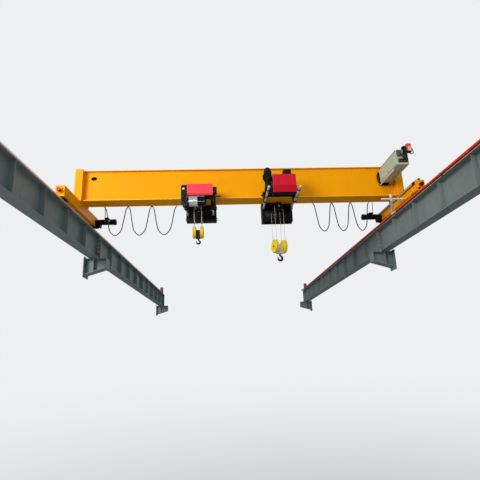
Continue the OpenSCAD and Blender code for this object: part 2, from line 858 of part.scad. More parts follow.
// A rope fall between two points that share one X
module fall(x, low, high) {
    d = high - low;
    translate([x, low[0], low[1]]) rotate([-atan2(d[0], d[1]), 0, 0]) cylinder(d = rope_d, h = norm(d));
}

// A rope drum along X from 0 to l, wound with rope over its first part, with a journal at each end
journal_d = 60;
journal_l = 30;
module drum(l, d, wound_l) {
    turns = 12;
    pitch = wound_l / turns;
    depth = 7;
    bare = 4;
    end_w = 12;
    r = d / 2;
    root = r - depth;
    wound = [for (k = [0 : turns - 1]) each
        [[root, end_w + pitch * k], [r, end_w + pitch * (k + 0.5)]]];
    rotate([0, 90, 0]) rotate_extrude(convexity = 4)
        polygon(concat(
            [[0, -journal_l], [journal_d / 2, -journal_l], [journal_d / 2, 0], [r, 0], [r, end_w - 1]],
            wound,
            [[root, end_w + wound_l], [root - bare, end_w + wound_l + 2], [root - bare, l - end_w],
                [r, l - end_w], [r, l]],
            [[journal_d / 2, l], [journal_d / 2, l + journal_l], [0, l + journal_l]]
        ));
}

// Bottom blocks. These modules start at the middle of the sheave axis
pin_d = 50;
shank_d = 42;
guard_wall = 22;
// A sheave guard: a disc with a cavity for its sheave and a slot in its top for the ropes
module sheave_guard(x, w, d, fall_r) {
    half = 17;
    slot_z = d / 5;
    difference() {
        rod_x(x - w / 2, x + w / 2, 0, 0, d);
        rod_x(x - half, x + half, 0, 0, d - 2 * guard_wall);
        block([x - half, -fall_r - rope_d, slot_z], [x + half, fall_r + rope_d, d]);
        rod_x(x - w / 2 - 1, x + w / 2 + 1, 0, 0, pin_d + 2 * run_fit);
    }
}

// Two grooved sheaves on their pin, with the cross head between the guards
module sheaves(x, guard_w, fall_r, head_low) {
    half_w = 13;
    flank = 12;
    root_w = 3;
    head_half = x - guard_w / 2 - eps;
    head_t = 45;
    head_high = 60;
    root = fall_r - rope_d / 2 - eps;
    for (s = [-x, x]) translate([s, 0, 0]) rotate([0, 90, 0]) rotate_extrude()
        polygon([[0, -half_w], [root + flank, -half_w], [root, -root_w], [root, root_w],
            [root + flank, half_w], [0, half_w]]);
    rod_x(-x - guard_w / 2 - 6, x + guard_w / 2 + 6, 0, 0, pin_d);
    difference() {
        block([-head_half, -head_t, head_low], [head_half, head_t, head_high]);
        translate([0, 0, head_low - 1]) cylinder(d = shank_d + 2 * run_fit, h = head_high);
    }
}

// A forged hook with its throat centre on the axis: neck, arc and point, swept as one bar
hook_sides = 12;
hook_steps = 15;
function hook_share(i) = i / hook_steps;
function hook_arc(r, i) = let (a = 100 + 275 * hook_share(i)) [-r * cos(a), 0, r * sin(a)];
function hook_radius(t, i) = t / 2 * (0.75 + 0.35 * sin(180 * hook_share(i)) - 0.35 * pow(hook_share(i), 3));

module forged_hook(shank_z, r, t) {
    centre_z = shank_z - t / 2 - r;
    arc = [for (i = [0 : hook_steps]) hook_arc(r, i) + [0, 0, centre_z]];
    tip = arc[hook_steps] + [-0.12 * r, 0, 0.4 * r];
    neck = [[0, 0, shank_z + t / 2], [0, 0, shank_z - t / 8]];
    radii = concat([0.38 * t, 0.38 * t], [for (i = [0 : hook_steps]) hook_radius(t, i)], [0.12 * t]);
    swept(concat(neck, arc, [tip]), radii, [0, 1, 0], hook_sides);
}

module hook_body(head_low, r, t) {
    drop = 25;
    grip = 55;
    translate([0, 0, head_low - drop]) cylinder(d = shank_d, h = drop + grip);
    forged_hook(head_low - drop, r, t);
}

// Left hoist
left_drum_y = -420;
left_drum_z = -175;
left_drum_x0 = -245;
left_drum_x1 = 150;
left_gear_x0 = -405;
left_gear_x1 = -260;
left_front = -560;
left_top = 195;
left_under = -330;
left_post_x0 = 280;
left_post_x1 = 400;
left_fall_x = 88;
left_fall_r = 100;
left_guard_w = 76;
left_tangent = left_drum_y + left_drum_d / 2 + eps + rope_d / 2;
left_block = [-35, left_tangent + left_fall_r, -875];
left_equalizer_z = -200;

left_anchor_z = -110;
right_anchor_z = -220;
right_anchor_y = 195;
socket = [30, 26, 60];

module trolley_left_frame() {
    socket_x = left_block[0] + left_fall_x - socket[0] / 2;
    color(black) at_left() {
        block([socket_x, left_tangent - socket[1] / 2, left_anchor_z],
            [socket_x + socket[0], left_tangent + socket[1] / 2, left_anchor_z + socket[2]]);
        block([socket_x, left_tangent, left_anchor_z + socket[2] / 2],
            [socket_x + socket[0], -plate_in, left_anchor_z + socket[2]]);
        block([socket_x, -plate_out, left_anchor_z + socket[2] / 2], [socket_x + socket[0], -plate_in, 6]);
        side_plates(left_ends, left_bars, left_bar_z);
        tie_bars(left_bars, left_bar_z, -bar_out, bar_out);
        buffer_rod(left_ends[1] - 1, left_ends[1] + 123);
        translate([left_block[0], left_block[1] + left_fall_r, left_equalizer_z])
            equalizer(left_fall_x, left_bars[0] - left_block[0], left_bars[1] - left_block[0],
                left_bar_z - left_equalizer_z);
    }
}

module trolley_left_wheels() {
    color(steel) at_left() trolley_wheels();
}

// Gearbox, electrics housing under the cover, motor end and the drum's outer bearing, as one body
left_gear_outline = [
    [left_gear_x0, left_top - 20], [left_gear_x0 + 20, left_top], [left_gear_x1, left_top],
    [left_gear_x1, left_under], [left_gear_x0 + 90, left_under], [left_gear_x0, left_under + 110]
];
left_case_z = -45;
left_case_outline = [
    [-554.7, -19], [-541, left_case_z], [-bar_out - eps, left_case_z], [-bar_out - eps, 209.7],
    [-549.6, 209.7], [-554.7, 204.6]
];
left_box = [[339, -520, -5], [432, -420, 152]];
module hoist_left_drive() {
    case_x1 = 340;
    bearing_x = left_drum_x1 + 5;
    bearing_t = 20;
    bearing_d = 130;
    stalk = 35;
    post_y = left_front + 32;
    post_z = left_under + 20;
    rear = -bar_out - eps;
    bore_d = journal_d + 2 * run_fit;
    color(black) at_left() difference() {
        union() {
            along_y(left_front, rear) polygon(left_gear_outline);
            along_x(left_gear_x1 - 1, case_x1) polygon(left_case_outline);
            rod_x(bearing_x, bearing_x + bearing_t, left_drum_y, left_drum_z, bearing_d);
            block([bearing_x, left_drum_y - stalk, left_drum_z],
                [bearing_x + bearing_t, left_drum_y + stalk, left_case_z + 1]);
            block([left_post_x0, post_y, post_z], [left_post_x1, rear, left_case_z + 1]);
            block(left_box[0], left_box[1]);
        }
        rod_x(left_drum_x0 - journal_l - 5, left_gear_x1 + 1, left_drum_y, left_drum_z, bore_d);
        rod_x(left_drum_x1, bearing_x + bearing_t + 1, left_drum_y, left_drum_z, bore_d);
    }
}

// The bent sheet cover: lip, front and top
left_cover_outline = [
    [-536, -68], [-560, -20], [-560, 207], [-552, 215], [-262, 215], [-262, 210],
    [-549.8, 210], [-555, 204.8], [-555, -19], [-531.5, -65.5]
];
module hoist_left_cover() {
    color(red) at_left() along_x(left_gear_x1 + eps, 339) polygon(left_cover_outline);
}

// The arm that tows the festoon, from a trolley's rear unit at x to the cable's end saddle
arm_y = festoon_y - 75;
arm_t = 30;
module tow_arm(x, tow, foot_z) {
    low = saddle_z - girder_z - 25;
    side = x < tow ? 1 : -1;
    block([min(x, x + side * arm_t), arm_y, foot_z], [max(x, x + side * arm_t), arm_y + arm_t, low + arm_t]);
    block([min(x, tow), arm_y, low], [max(x, tow), arm_y + arm_t, low + arm_t]);
    block([tow - arm_t / 2, arm_y, low], [tow + arm_t / 2, festoon_y, low + arm_t / 2]);
    translate([tow, 0, -girder_z]) cable_saddle();
}

left_weight_x = [-370, 400];
left_weight_outline = [
    [bar_out + eps, -400], [445, -400], [465, -380], [465, 20], [435, 50], [bar_out + eps, 50]
];
module hoist_left_counterweight() {
    lug_y = 430;
    lug_z = [10, 49];
    x = left_weight_x[0];
    color(black) at_left() {
        along_x(x, left_weight_x[1]) polygon(left_weight_outline);
        block([x, lug_y, lug_z[0]], [x + arm_t, arm_y + arm_t, lug_z[1]]);
        tow_arm(x, left_tow_x - left_x, lug_z[0]);
    }
}

module hoist_left_ropes() {
    x0 = left_block[0];
    y0 = left_block[1];
    z0 = left_block[2];
    color(steel) at_left() {
        fall(x0 - left_fall_x, [left_tangent, z0], [left_tangent, left_drum_z]);
        fall(x0 + left_fall_x, [left_tangent, z0], [left_tangent, left_anchor_z - eps]);
        for (x = [x0 - left_fall_x, x0 + left_fall_x])
            fall(x, [y0 + left_fall_r, z0], [y0 + left_fall_r, left_equalizer_z]);
    }
}

module hoist_left_drum() {
    color(steel) at_left() translate([left_drum_x0, left_drum_y, left_drum_z])
        drum(left_drum_x1 - left_drum_x0, left_drum_d, 205);
}

guard_yellow = [0.95, 0.78, 0.10];
left_head = -150;
module block_left_guards() {
    color(guard_yellow) at_left() translate(left_block)
        for (x = [-left_fall_x, left_fall_x]) sheave_guard(x, left_guard_w, left_guard_d, left_fall_r);
}

module block_left_sheaves() {
    color(black) at_left() translate(left_block) sheaves(left_fall_x, left_guard_w, left_fall_r, left_head);
}

module hook_left() {
    color(black) at_left() translate(left_block) hook_body(left_head, 42, 40);
}

// Right hoist
right_drum_y = 360;
right_drum_z = -260;
right_drum_x0 = -345;
right_drum_x1 = 310;
right_fall_x = 115;
right_fall_r = 110;
right_guard_w = 70;
right_twist = 16;
right_tangent = right_drum_y - right_drum_d / 2 - eps - rope_d / 2;
right_block = [-40, 100, -1178];
right_equalizer_z = -150;
right_front = -1000;

// The housing for the electrics, carried on two cross members between the tie bars
right_case_outline = [
    [-694.5, -95], [-754.5, 43.5], [-739.5, 333], [-732.8, 339.7], [-430, 339.7], [-430, -95]
];
right_side_outline = [
    [-735, -60], [-735, 35], [-560, 430], [-450, 430], [-430, 410], [-430, -95], [-700, -95]
];
right_case_x = [-232, 315];
right_box = [[38, -640, 420], [235, -520, 515]];
right_box_foot = [24, 339];
member_y = [-680, -500];
member_w = 40;
member_low = right_bar_z + 8;
member_top = right_bar_z + 45;
module trolley_right_frame() {
    side_t = 12;
    collar_y = [-820, -470];
    collar_half = 12;
    collar_d = tie_bar_d + 26;
    cheek_x = (right_bars[1] - right_bars[0]) / 2 / cos(right_twist);
    socket_x = turned(right_fall_x, right_fall_r)[0] - socket[0] / 2;
    socket_y = right_anchor_y - socket[1] / 2;
    color(black) at_right() {
        block([socket_x, socket_y, right_anchor_z], [socket_x + socket[0], socket_y + socket[1], -5]);
        block([socket_x, flange_edge + 5, -socket[2]], [socket_x + socket[0], plate_out - 4, 6]);
        side_plates(right_ends, right_bars, right_bar_z);
        tie_bars(right_bars, right_bar_z, right_front, bar_out);
        buffer_rod(right_ends[0] - 32, right_ends[0] + 1);
        buffer_rod(right_ends[1] - 1, right_ends[1] + 30);
        translate([right_block[0], right_block[1], right_equalizer_z]) rotate([0, 0, right_twist])
            translate([0, -right_fall_r, 0])
                equalizer(right_fall_x, -cheek_x, cheek_x, right_bar_z - right_equalizer_z);
        for (y = member_y)
            block([right_bars[0], y, member_low], [right_bars[1], y + member_w, member_top]);
        for (y = collar_y) for (x = right_bars)
            rod_y(x, y - collar_half, y + collar_half, right_bar_z, collar_d);
        along_x(right_case_x[0], right_case_x[1]) polygon(right_case_outline);
        along_x(right_case_x[1] - 1, right_case_x[1] + side_t) polygon(right_side_outline);
        block(right_box[0], right_box[1]);
        for (x = [right_box[0][0], right_box[1][0] - right_box_foot[0]])
            block([x, right_box[0][1], right_box_foot[1]],
                [x + right_box_foot[0], right_box[1][1], right_box[0][2] + 1]);
    }
}

module trolley_right_wheels() {
    color(steel) at_right() trolley_wheels();
}

// The upright motor and its gearbox, on the cross members and the left tie bar
module hoist_right_drive() {
    x = -331;
    y = -610;
    case = [84, 95];
    case_low = member_top + eps;
    case_top = 80;
    body_d = 150;
    body_top = 235;
    bell_d = 192;
    bell_top = 465;
    cap_d = 110;
    cap_top = 556;
    foot = [30, 26];
    foot_y = member_y[0] + member_w + eps + foot[1];
    foot_z = right_bar_z + tie_bar_d / 2 + eps;
    color(black) at_right() {
        block([x - case[0], y - case[1], case_low], [x + case[0], y + case[1], case_top]);
        translate([x, y, case_top - 1]) cylinder(d = body_d, h = body_top - case_top + 2);
        translate([x, y, body_top]) cylinder(d = bell_d, h = bell_top - body_top);
        translate([x, y, bell_top]) cylinder(d1 = bell_d, d2 = cap_d, h = cap_top - bell_top);
        block([right_bars[0] - foot[0], foot_y - foot[1], foot_z],
            [right_bars[0] + foot[0], foot_y + foot[1], case_low + 1]);
    }
}

right_cover_outline = [
    [-700, -100], [-760, 43], [-745, 335], [-735, 345], [-432, 345], [-432, 340],
    [-732.9, 340], [-739.8, 333.2], [-754.9, 43.4], [-695.4, -98]
];
module hoist_right_cover() {
    notch = 5;
    color(red) at_right() difference() {
        along_x(right_case_x[0], right_case_x[1] - 1) polygon(right_cover_outline);
        block([right_box[0][0] - notch, right_box[0][1] - notch, right_box_foot[1] - notch - 4],
            [right_box[1][0] + notch, -431, 350]);
    }
}

// The drum's end housings behind the girder, joined by a roof, a rear plate and two stay rods
module hoist_right_housing() {
    end_t = 60;
    gap = 5;
    low = -455;
    high = 70;
    roof_z = 20;
    roof_t = 40;
    plate_t = 4.5;
    front = bar_out + eps;
    rear = right_drum_y + right_drum_d / 2 + 10;
    stay_d = 36;
    stay_z = low + 25;
    bore_d = journal_d + 2 * run_fit;
    x0 = right_drum_x0 - gap;
    x1 = right_drum_x1 + gap;
    color(black) at_right() {
        difference() {
            for (x = [x0 - end_t, x1])
                along_x(x, x + end_t) polygon([
                    [front, low + 30], [front + 30, low], [rear - 40, low], [rear, low + 40],
                    [rear, high - 30], [rear - 30, high], [front, high]
                ]);
            rod_x(x0 - journal_l, right_drum_x0, right_drum_y, right_drum_z, bore_d);
            rod_x(right_drum_x1, x1 + journal_l, right_drum_y, right_drum_z, bore_d);
        }
        block([x0 - 1, front, roof_z], [x1 + 1, rear, roof_z + roof_t]);
        block([x0 - 1, rear - plate_t, low + 40], [x1 + 1, rear, roof_z + 1]);
        for (y = [front + 24, rear - 30])
            rod_x(x0 - 1, x1 + 1, y, stay_z, stay_d);
        tow_arm(x1 + end_t, right_tow_x - right_x, 10);
        block([x1, arm_y, 10], [x1 + end_t + 1, arm_y + arm_t, 60]);
    }
}

function turned(x, y) = [
    x * cos(right_twist) - y * sin(right_twist) + right_block[0],
    x * sin(right_twist) + y * cos(right_twist) + right_block[1]
];

module hoist_right_ropes() {
    z0 = right_block[2];
    wound = turned(-right_fall_x, right_fall_r);
    fixed = turned(right_fall_x, right_fall_r);
    color(steel) at_right() {
        fall(wound[0], [wound[1], z0], [right_tangent, right_drum_z]);
        fall(fixed[0], [fixed[1], z0], [right_anchor_y, right_anchor_z - eps]);
        for (x = [-right_fall_x, right_fall_x]) {
            near = turned(x, -right_fall_r);
            fall(near[0], [near[1], z0], [near[1], right_equalizer_z]);
        }
    }
}

module hoist_right_drum() {
    color(steel) at_right() translate([right_drum_x0, right_drum_y, right_drum_z])
        drum(right_drum_x1 - right_drum_x0, right_drum_d, 300);
}

module at_right_block() {
    at_right() translate(right_block) rotate([0, 0, right_twist]) children();
}

right_head = -190;
module block_right_guards() {
    color(guard_yellow) at_right_block()
        for (x = [-right_fall_x, right_fall_x]) sheave_guard(x, right_guard_w, right_guard_d, right_fall_r);
}

module block_right_sheaves() {
    color(steel) at_right_block() sheaves(right_fall_x, right_guard_w, right_fall_r, right_head);
}

module hook_right() {
    color(black) at_right_block() hook_body(right_head, 58, 54);
}

runway_beams_near();
runway_beams_far();
rails();
wall_brackets();
end_stops();
conductor_bar();
conductor_hangers();
girder_top_flange();
girder_bottom_flange();
girder_web_front();
girder_web_rear();
girder_ends();
end_trucks();
buffers();
travel_drives();
control_cabinet();
cabinet_bracket();
warning_signal();
collector();
festoon_track();
festoon_cable_left();
festoon_cable_right();
drive_cables();
carrier_left_outer();
carrier_left_inner();
carrier_right_inner();
carrier_right_outer();
travel_wheel_left_front();
travel_wheel_left_rear();
travel_wheel_right_front();
travel_wheel_right_rear();
trolley_left_frame();
trolley_left_wheels();
hoist_left_drive();
hoist_left_cover();
hoist_left_counterweight();
hoist_left_ropes();
hoist_left_drum();
block_left_guards();
block_left_sheaves();
hook_left();
trolley_right_frame();
trolley_right_wheels();
hoist_right_drive();
hoist_right_cover();
hoist_right_housing();
hoist_right_ropes();
hoist_right_drum();
block_right_guards();
block_right_sheaves();
hook_right();
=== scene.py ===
# Looks of a single girder overhead bridge crane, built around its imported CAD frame.
# Shapes are written in the crane's own frame in metres, from mid span at rail head level, and moved by SITE.
import math
import random

import bmesh
import bpy
from mathutils import Matrix, Vector


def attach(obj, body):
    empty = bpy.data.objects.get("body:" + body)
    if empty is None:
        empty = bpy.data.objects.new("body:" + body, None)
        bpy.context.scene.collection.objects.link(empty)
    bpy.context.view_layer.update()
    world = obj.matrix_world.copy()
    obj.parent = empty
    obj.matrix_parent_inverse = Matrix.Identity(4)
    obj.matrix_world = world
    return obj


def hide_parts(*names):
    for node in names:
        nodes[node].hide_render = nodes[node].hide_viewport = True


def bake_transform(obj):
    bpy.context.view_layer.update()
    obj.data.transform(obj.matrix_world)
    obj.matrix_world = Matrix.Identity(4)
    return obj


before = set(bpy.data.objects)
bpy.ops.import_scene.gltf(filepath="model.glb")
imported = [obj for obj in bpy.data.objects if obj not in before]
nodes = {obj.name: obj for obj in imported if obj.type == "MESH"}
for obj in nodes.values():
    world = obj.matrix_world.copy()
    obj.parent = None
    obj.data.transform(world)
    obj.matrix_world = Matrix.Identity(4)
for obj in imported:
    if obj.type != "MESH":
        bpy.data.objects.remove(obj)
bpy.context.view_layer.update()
SITE = Vector((4.25, -1.2, 1.024))
UP, DOWN, FRONT = (0, 0, 1), (0, 0, -1), (0, -1, 0)
chance = random.Random(7)


# Shapes

def spread(axis, along, u, v):
    """A point from its place along an axis and its two other coordinates, in the order of the axes."""
    return {"x": (along, u, v), "y": (u, along, v), "z": (u, v, along)}[axis]


class Shape:
    """Points and faces of one piece, gathered before its mesh is made. mat is the number of its material."""

    def __init__(self):
        self.points, self.faces, self.mats = [], [], []
        self.mat = 0
        self.place = Matrix()

    def add(self, points, faces):
        first = len(self.points)
        self.points += [self.place @ Vector(p) for p in points]
        self.faces += [[first + i for i in f] for f in faces]
        self.mats += [self.mat] * len(faces)
        return self

    def block(self, corner, opposite):
        (a, d), (b, e), (c, f) = (sorted(pair) for pair in zip(corner, opposite))
        points = [(x, y, z) for z in (c, f) for y in (b, e) for x in (a, d)]
        return self.add(points, [(0, 2, 3, 1), (4, 5, 7, 6), (0, 1, 5, 4), (2, 6, 7, 3), (0, 4, 6, 2),
                                 (1, 3, 7, 5)])

    def prism(self, axis, a0, a1, outline):
        n = len(outline)
        points = [spread(axis, a, u, v) for a in sorted((a0, a1)) for u, v in outline]
        sides = [(i, (i + 1) % n, n + (i + 1) % n, n + i) for i in range(n)]
        return self.add(points, sides + [tuple(range(n - 1, -1, -1)), tuple(range(n, 2 * n))])

    def lathe(self, axis, centre, profile, n=40):
        """Turns (radius, along) points about a line through centre, given as (u, v)."""
        points, rings = [], []
        for r, a in profile:
            if r < 1e-6:
                rings.append([len(points)])
                points.append(spread(axis, a, *centre))
            else:
                rings.append(list(range(len(points), len(points) + n)))
                points += [spread(axis, a, centre[0] + u, centre[1] + v) for u, v in ring_of(n, r)]
        faces = []
        for p, q in zip(rings, rings[1:]):
            for k in range(n):
                m = (k + 1) % n
                if len(p) > 1 and len(q) > 1:
                    faces.append((p[k], p[m], q[m], q[k]))
                elif len(p) > 1:
                    faces.append((p[k], p[m], q[0]))
                elif len(q) > 1:
                    faces.append((p[0], q[m], q[k]))
        return self.add(points, faces)

    def rod(self, axis, a0, a1, centre, d, n=32, edge=0.0):
        """A round bar, with chamfered ends where edge is given."""
        r = d / 2
        if edge:
            profile = [(0, a0), (r - edge, a0), (r, a0 + edge), (r, a1 - edge), (r - edge, a1), (0, a1)]
        else:
            profile = [(0, a0), (r, a0), (r, a1), (0, a1)]
        return self.lathe(axis, centre, profile, n)

    def tube(self, path, radius, n=10, side=(0, 1, 0), twist=0.0, dent=0.0):
        """A round bar along points, with one radius or one for each point. Every other edge may be dented, for
        strands that turn by twist from point to point."""
        path = [Vector(p) for p in path]
        radii = radius if isinstance(radius, (list, tuple)) else [radius] * len(path)
        points, across = [], Vector(side)
        for i, p in enumerate(path):
            t = (path[min(i + 1, len(path) - 1)] - path[max(i - 1, 0)]).normalized()
            across = across - t * across.dot(t)
            if across.length < 1e-3:
                across = t.orthogonal()
            across.normalize()
            rise = t.cross(across)
            for k in range(n):
                a, r = 2 * math.pi * k / n + twist * i, radii[i] * (1 - dent * (k % 2))
                points.append(p + r * (math.cos(a) * across + math.sin(a) * rise))
        m = len(path)
        faces = [(i * n + k, i * n + (k + 1) % n, (i + 1) * n + (k + 1) % n, (i + 1) * n + k)
                 for i in range(m - 1) for k in range(n)]
        return self.add(points, faces +
                        [tuple(range(n - 1, -1, -1)), tuple((m - 1) * n + k for k in range(n))])

    def bolt(self, spot, way, size=0.024, head=0.65, washer=True):
        """A hexagon head or nut with its washer, on a face at a point, standing out along way."""
        keep = self.place
        turn = Vector(way).normalized().to_track_quat("Z", "Y").to_matrix().to_4x4()
        self.place = keep @ Matrix.Translation(spot) @ turn @ Matrix.Rotation(chance.random() * 3, 4, "Z")
        base = size * 0.12 if washer else 0.0
        if washer:
            self.rod("z", -0.001, base, (0, 0), size * 1.96, 14)
        top, r = base + size * head, size * 0.577
        self.lathe("z", (0, 0), [(0, base), (r, base), (r, top - size * 0.08), (r * 0.84, top), (0, top)], 6)
        stud = size * 0.3
        self.lathe("z", (0, 0), [(0, top), (stud, top), (stud, top + size * 0.18), (0, top + size * 0.22)],
                   10)
        self.place = keep
        return self

    def screw(self, spot, way, size):
        """A small, flat hexagon head with no washer."""
        return self.bolt(spot, way, size, 0.35, False)

    def done(self, name, body, looks, slot, replaces=None, edge=0.0, blend=None):
        """Makes the piece: its mesh, materials, bevelled edges and the body that it rides. The slot argument
        is not used.
        """
        mesh = bpy.data.meshes.new(name)
        mesh.from_pydata([p + SITE for p in self.points], [], self.faces)
        for look in looks.split():
            mesh.materials.append(paint[look])
        mesh.polygons.foreach_set("material_index", self.mats)
        bm = bmesh.new()
        bm.from_mesh(mesh)
        bmesh.ops.recalc_face_normals(bm, faces=bm.faces)
        for f in bm.faces:
            f.smooth = True
        for e in bm.edges:
            e.smooth = len(e.link_faces) == 2 and e.calc_face_angle(0) < math.radians(38)
        bm.to_mesh(mesh)
        bm.free()
        piece = bpy.data.objects.new(name, mesh)
        bpy.context.scene.collection.objects.link(piece)
        if edge:
            bevel = piece.modifiers.new("edges", "BEVEL")
            bevel.width, bevel.segments = edge, 2
            bevel.limit_method, bevel.angle_limit = "ANGLE", math.radians(50)
            bevel.harden_normals = True
        if blend:
            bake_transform(piece)
        else:
            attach(piece, body)
        if replaces:
            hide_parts(replaces)
        return piece


def put(place, *group):
    """Sets where the next points of each shape go."""
    for shape in group:
        shape.place = place


def shapes(n, place=Matrix()):
    made = [Shape() for _ in range(n)]
    put(place, *made)
    return made


def at(x=0.0, y=0.0, z=0.0, mirror=False):
    """A place to draw at, or its mirror image on the other side of the span."""
    place = Matrix.Translation((x, y, z))
    return Matrix.Diagonal((-1, 1, 1, 1)) @ place if mirror else place


# Outlines and small things that repeat

def ring_of(n, r, start=0.0):
    return [(r * math.cos(start + 2 * math.pi * k / n), r * math.sin(start + 2 * math.pi * k / n))
            for k in range(n)]


def bow(centre, r, a0, a1, step):
    """Points on an arc, from and to angles in whole degrees."""
    return [(centre[0] + r * math.cos(math.radians(a)), centre[1] + r * math.sin(math.radians(a)))
            for a in range(a0, a1 + 1, step)]


def corners(u, v):
    return (u, v), (-u, v), (u, -v), (-u, -v)


def rounded(w, h, r, n=5):
    """An outline of a rectangle with round corners, centred."""
    out = []
    for i, (cu, cv) in enumerate(((w / 2 - r, h / 2 - r), (r - w / 2, h / 2 - r), (r - w / 2, r - h / 2),
                                  (w / 2 - r, r - h / 2))):
        for k in range(n + 1):
            t = math.radians(90 * i + 90 * k / n)
            out.append((cu + r * math.cos(t), cv + r * math.sin(t)))
    return out


def moved(outline, du, dv):
    return [(u + du, v + dv) for u, v in outline]


def shrunk(outline, by):
    """A convex outline with each point moved towards its middle."""
    cu = sum(u for u, v in outline) / len(outline)
    cv = sum(v for u, v in outline) / len(outline)
    out = []
    for u, v in outline:
        d = math.hypot(u - cu, v - cv)
        out.append((u + (cu - u) * by / d, v + (cv - v) * by / d))
    return out


def along(outline, step):
    """Points about step apart along a closed outline."""
    out = []
    for (u, v), (p, q) in zip(outline, outline[1:] + outline[:1]):
        n = max(1, round(math.hypot(p - u, q - v) / step))
        out += [(u + (p - u) * k / n, v + (q - v) * k / n) for k in range(n)]
    return out


def bead(shape, axis, a0, a1, corner, leg):
    """A fillet weld along an axis, in a corner at (u, v), with its legs towards +-leg."""
    (u, v), (du, dv) = corner, leg
    shape.prism(axis, a0, a1, [(u, v), (u + du, v), (u + du * 0.6, v + dv * 0.6), (u, v + dv)])


def gland(shape, place, way, size=0.024):
    """A cable gland: a hexagon and a round nut."""
    keep = shape.place
    turn = Vector(way).normalized().to_track_quat("Z", "Y").to_matrix().to_4x4()
    shape.place = keep @ Matrix.Translation(place) @ turn
    shape.rod("z", 0, size * 0.45, (0, 0), size * 1.2, 6)
    shape.lathe("z", (0, 0), [(0, size * 0.4), (size * 0.5, size * 0.4), (size * 0.5, size),
                              (size * 0.38, size * 1.25), (0, size * 1.25)], 16)
    shape.place = keep


# Materials

def linear(r, g, b):
    """An sRGB colour of 0 to 255 as linear values."""
    return tuple(c / 12.92 if c <= 0.04045 else ((c + 0.055) / 1.055) ** 2.4
                 for c in (r / 255, g / 255, b / 255)) + (1,)


def shade(colour, by):
    return tuple(min(1.0, c * by) for c in colour[:3]) + (1,)


def node_maker(tree):
    """A function that adds a shader node to the tree, with its settings and its set or linked inputs."""
    def add(kind, inputs, **settings):
        node = tree.nodes.new("ShaderNode" + kind)
        for key, value in settings.items():
            setattr(node, key, value)
        join(node, inputs)
        return node

    def join(node, inputs):
        for key, value in inputs.items():
            if isinstance(value, bpy.types.NodeSocket):
                tree.links.new(value, node.inputs[key])
            else:
                node.inputs[key].default_value = value

    return add, join


MUCK = (0.045, 0.036, 0.028, 1)
DUST = (0.30, 0.27, 0.23, 1)
SOOT = (0.02, 0.019, 0.018, 1)
GREASE = (0.03, 0.028, 0.026, 1)
RUST = (0.16, 0.06, 0.025, 1)
OCHRE = (0.42, 0.14, 0.0, 1)
PALE = (0.2, 0.19, 0.18, 1)


def finish_of(name, colour, rough, metal, vary, scale, grime, grime_colour, wear_and_sheen=0.0, wear_and_sheen_colour=PALE,
              wear_and_sheen_width=0.006, grain=0.0, grain_scale=300.0, streaks=0.0, coat=0.0, stretch=(1, 1, 1),
              gloss=0.5, even=False):
    """A painted, rubber or metal surface of an sRGB colour: varied tone, soft dirt in patches, streaks down
    its height, light edges (worn where broken up by noise, a painted highlight where even) and a fine grain."""
    m = bpy.data.materials.new(name)
    m.use_nodes = True
    add, join = node_maker(m.node_tree)
    place = add("TexCoord", {}).outputs["Object"]

    def noise(size, detail=4.0, squeeze=(1, 1, 1), lift=0.5):
        spot = add("Mapping", {"Vector": place, "Scale": squeeze}).outputs["Vector"]
        return add("TexNoise", {"Vector": spot, "Scale": size, "Detail": detail,
                                "Roughness": lift}).outputs["Fac"]

    def ramp(value, low, high, to_low=0.0, to_high=1.0):
        return add("MapRange", {"Value": value, "From Min": low, "From Max": high, "To Min": to_low,
                                "To Max": to_high}).outputs["Result"]

    def mix(factor, a, b):
        return add("Mix", {0: factor, 6: a, 7: b}, data_type="RGBA").outputs[2]

    def times(a, b):
        return add("Math", {0: a, 1: b}, operation="MULTIPLY", use_clamp=True).outputs[0]

    base = linear(*colour)
    tone = ramp(noise(scale, 5.0, stretch), 0.3, 0.7)
    out = mix(tone, shade(base, 1 - vary), shade(base, 1 + vary * 0.6))
    patch = ramp(noise(scale * 2.7, 8.0, stretch, 0.62), 0.52, 0.78)
    out = mix(times(patch, grime), out, grime_colour)
    if streaks:
        run = ramp(noise(9.0, 6.0, (1, 1, 0.06), 0.6), 0.5, 0.75)
        out = mix(times(run, streaks), out, grime_colour)
    rough_value = ramp(noise(scale * 6, 6.0), 0.3, 0.7, max(0.04, rough - 0.1), min(1.0, rough + 0.12))
    if wear_and_sheen:
        soft = add("Bevel", {"Radius": wear_and_sheen_width}, samples=4).outputs["Normal"]
        hard = add("NewGeometry", {}).outputs["Normal"]
        rim = ramp(add("VectorMath", {0: soft, 1: hard}, operation="DOT_PRODUCT").outputs["Value"], 0.97,
                   0.75)
        # Even light edges are a painted highlight; edges broken up by noise are wear.
        if not even:
            rim = times(rim, ramp(noise(38.0, 8.0, (1, 1, 1), 0.7), 0.42, 0.56))
        out = mix(times(rim, wear_and_sheen), out, wear_and_sheen_colour)
    surface = {"Base Color": out, "Roughness": rough_value, "Metallic": metal, "Specular IOR Level": gloss}
    if coat:
        surface.update({"Coat Weight": coat, "Coat Roughness": 0.12})
    if grain:
        surface["Normal"] = add("Bump", {"Strength": 0.5, "Distance": grain,
                                         "Height": noise(grain_scale, 3.0, stretch)}).outputs["Normal"]
    join(m.node_tree.nodes["Principled BSDF"], surface)
    return m


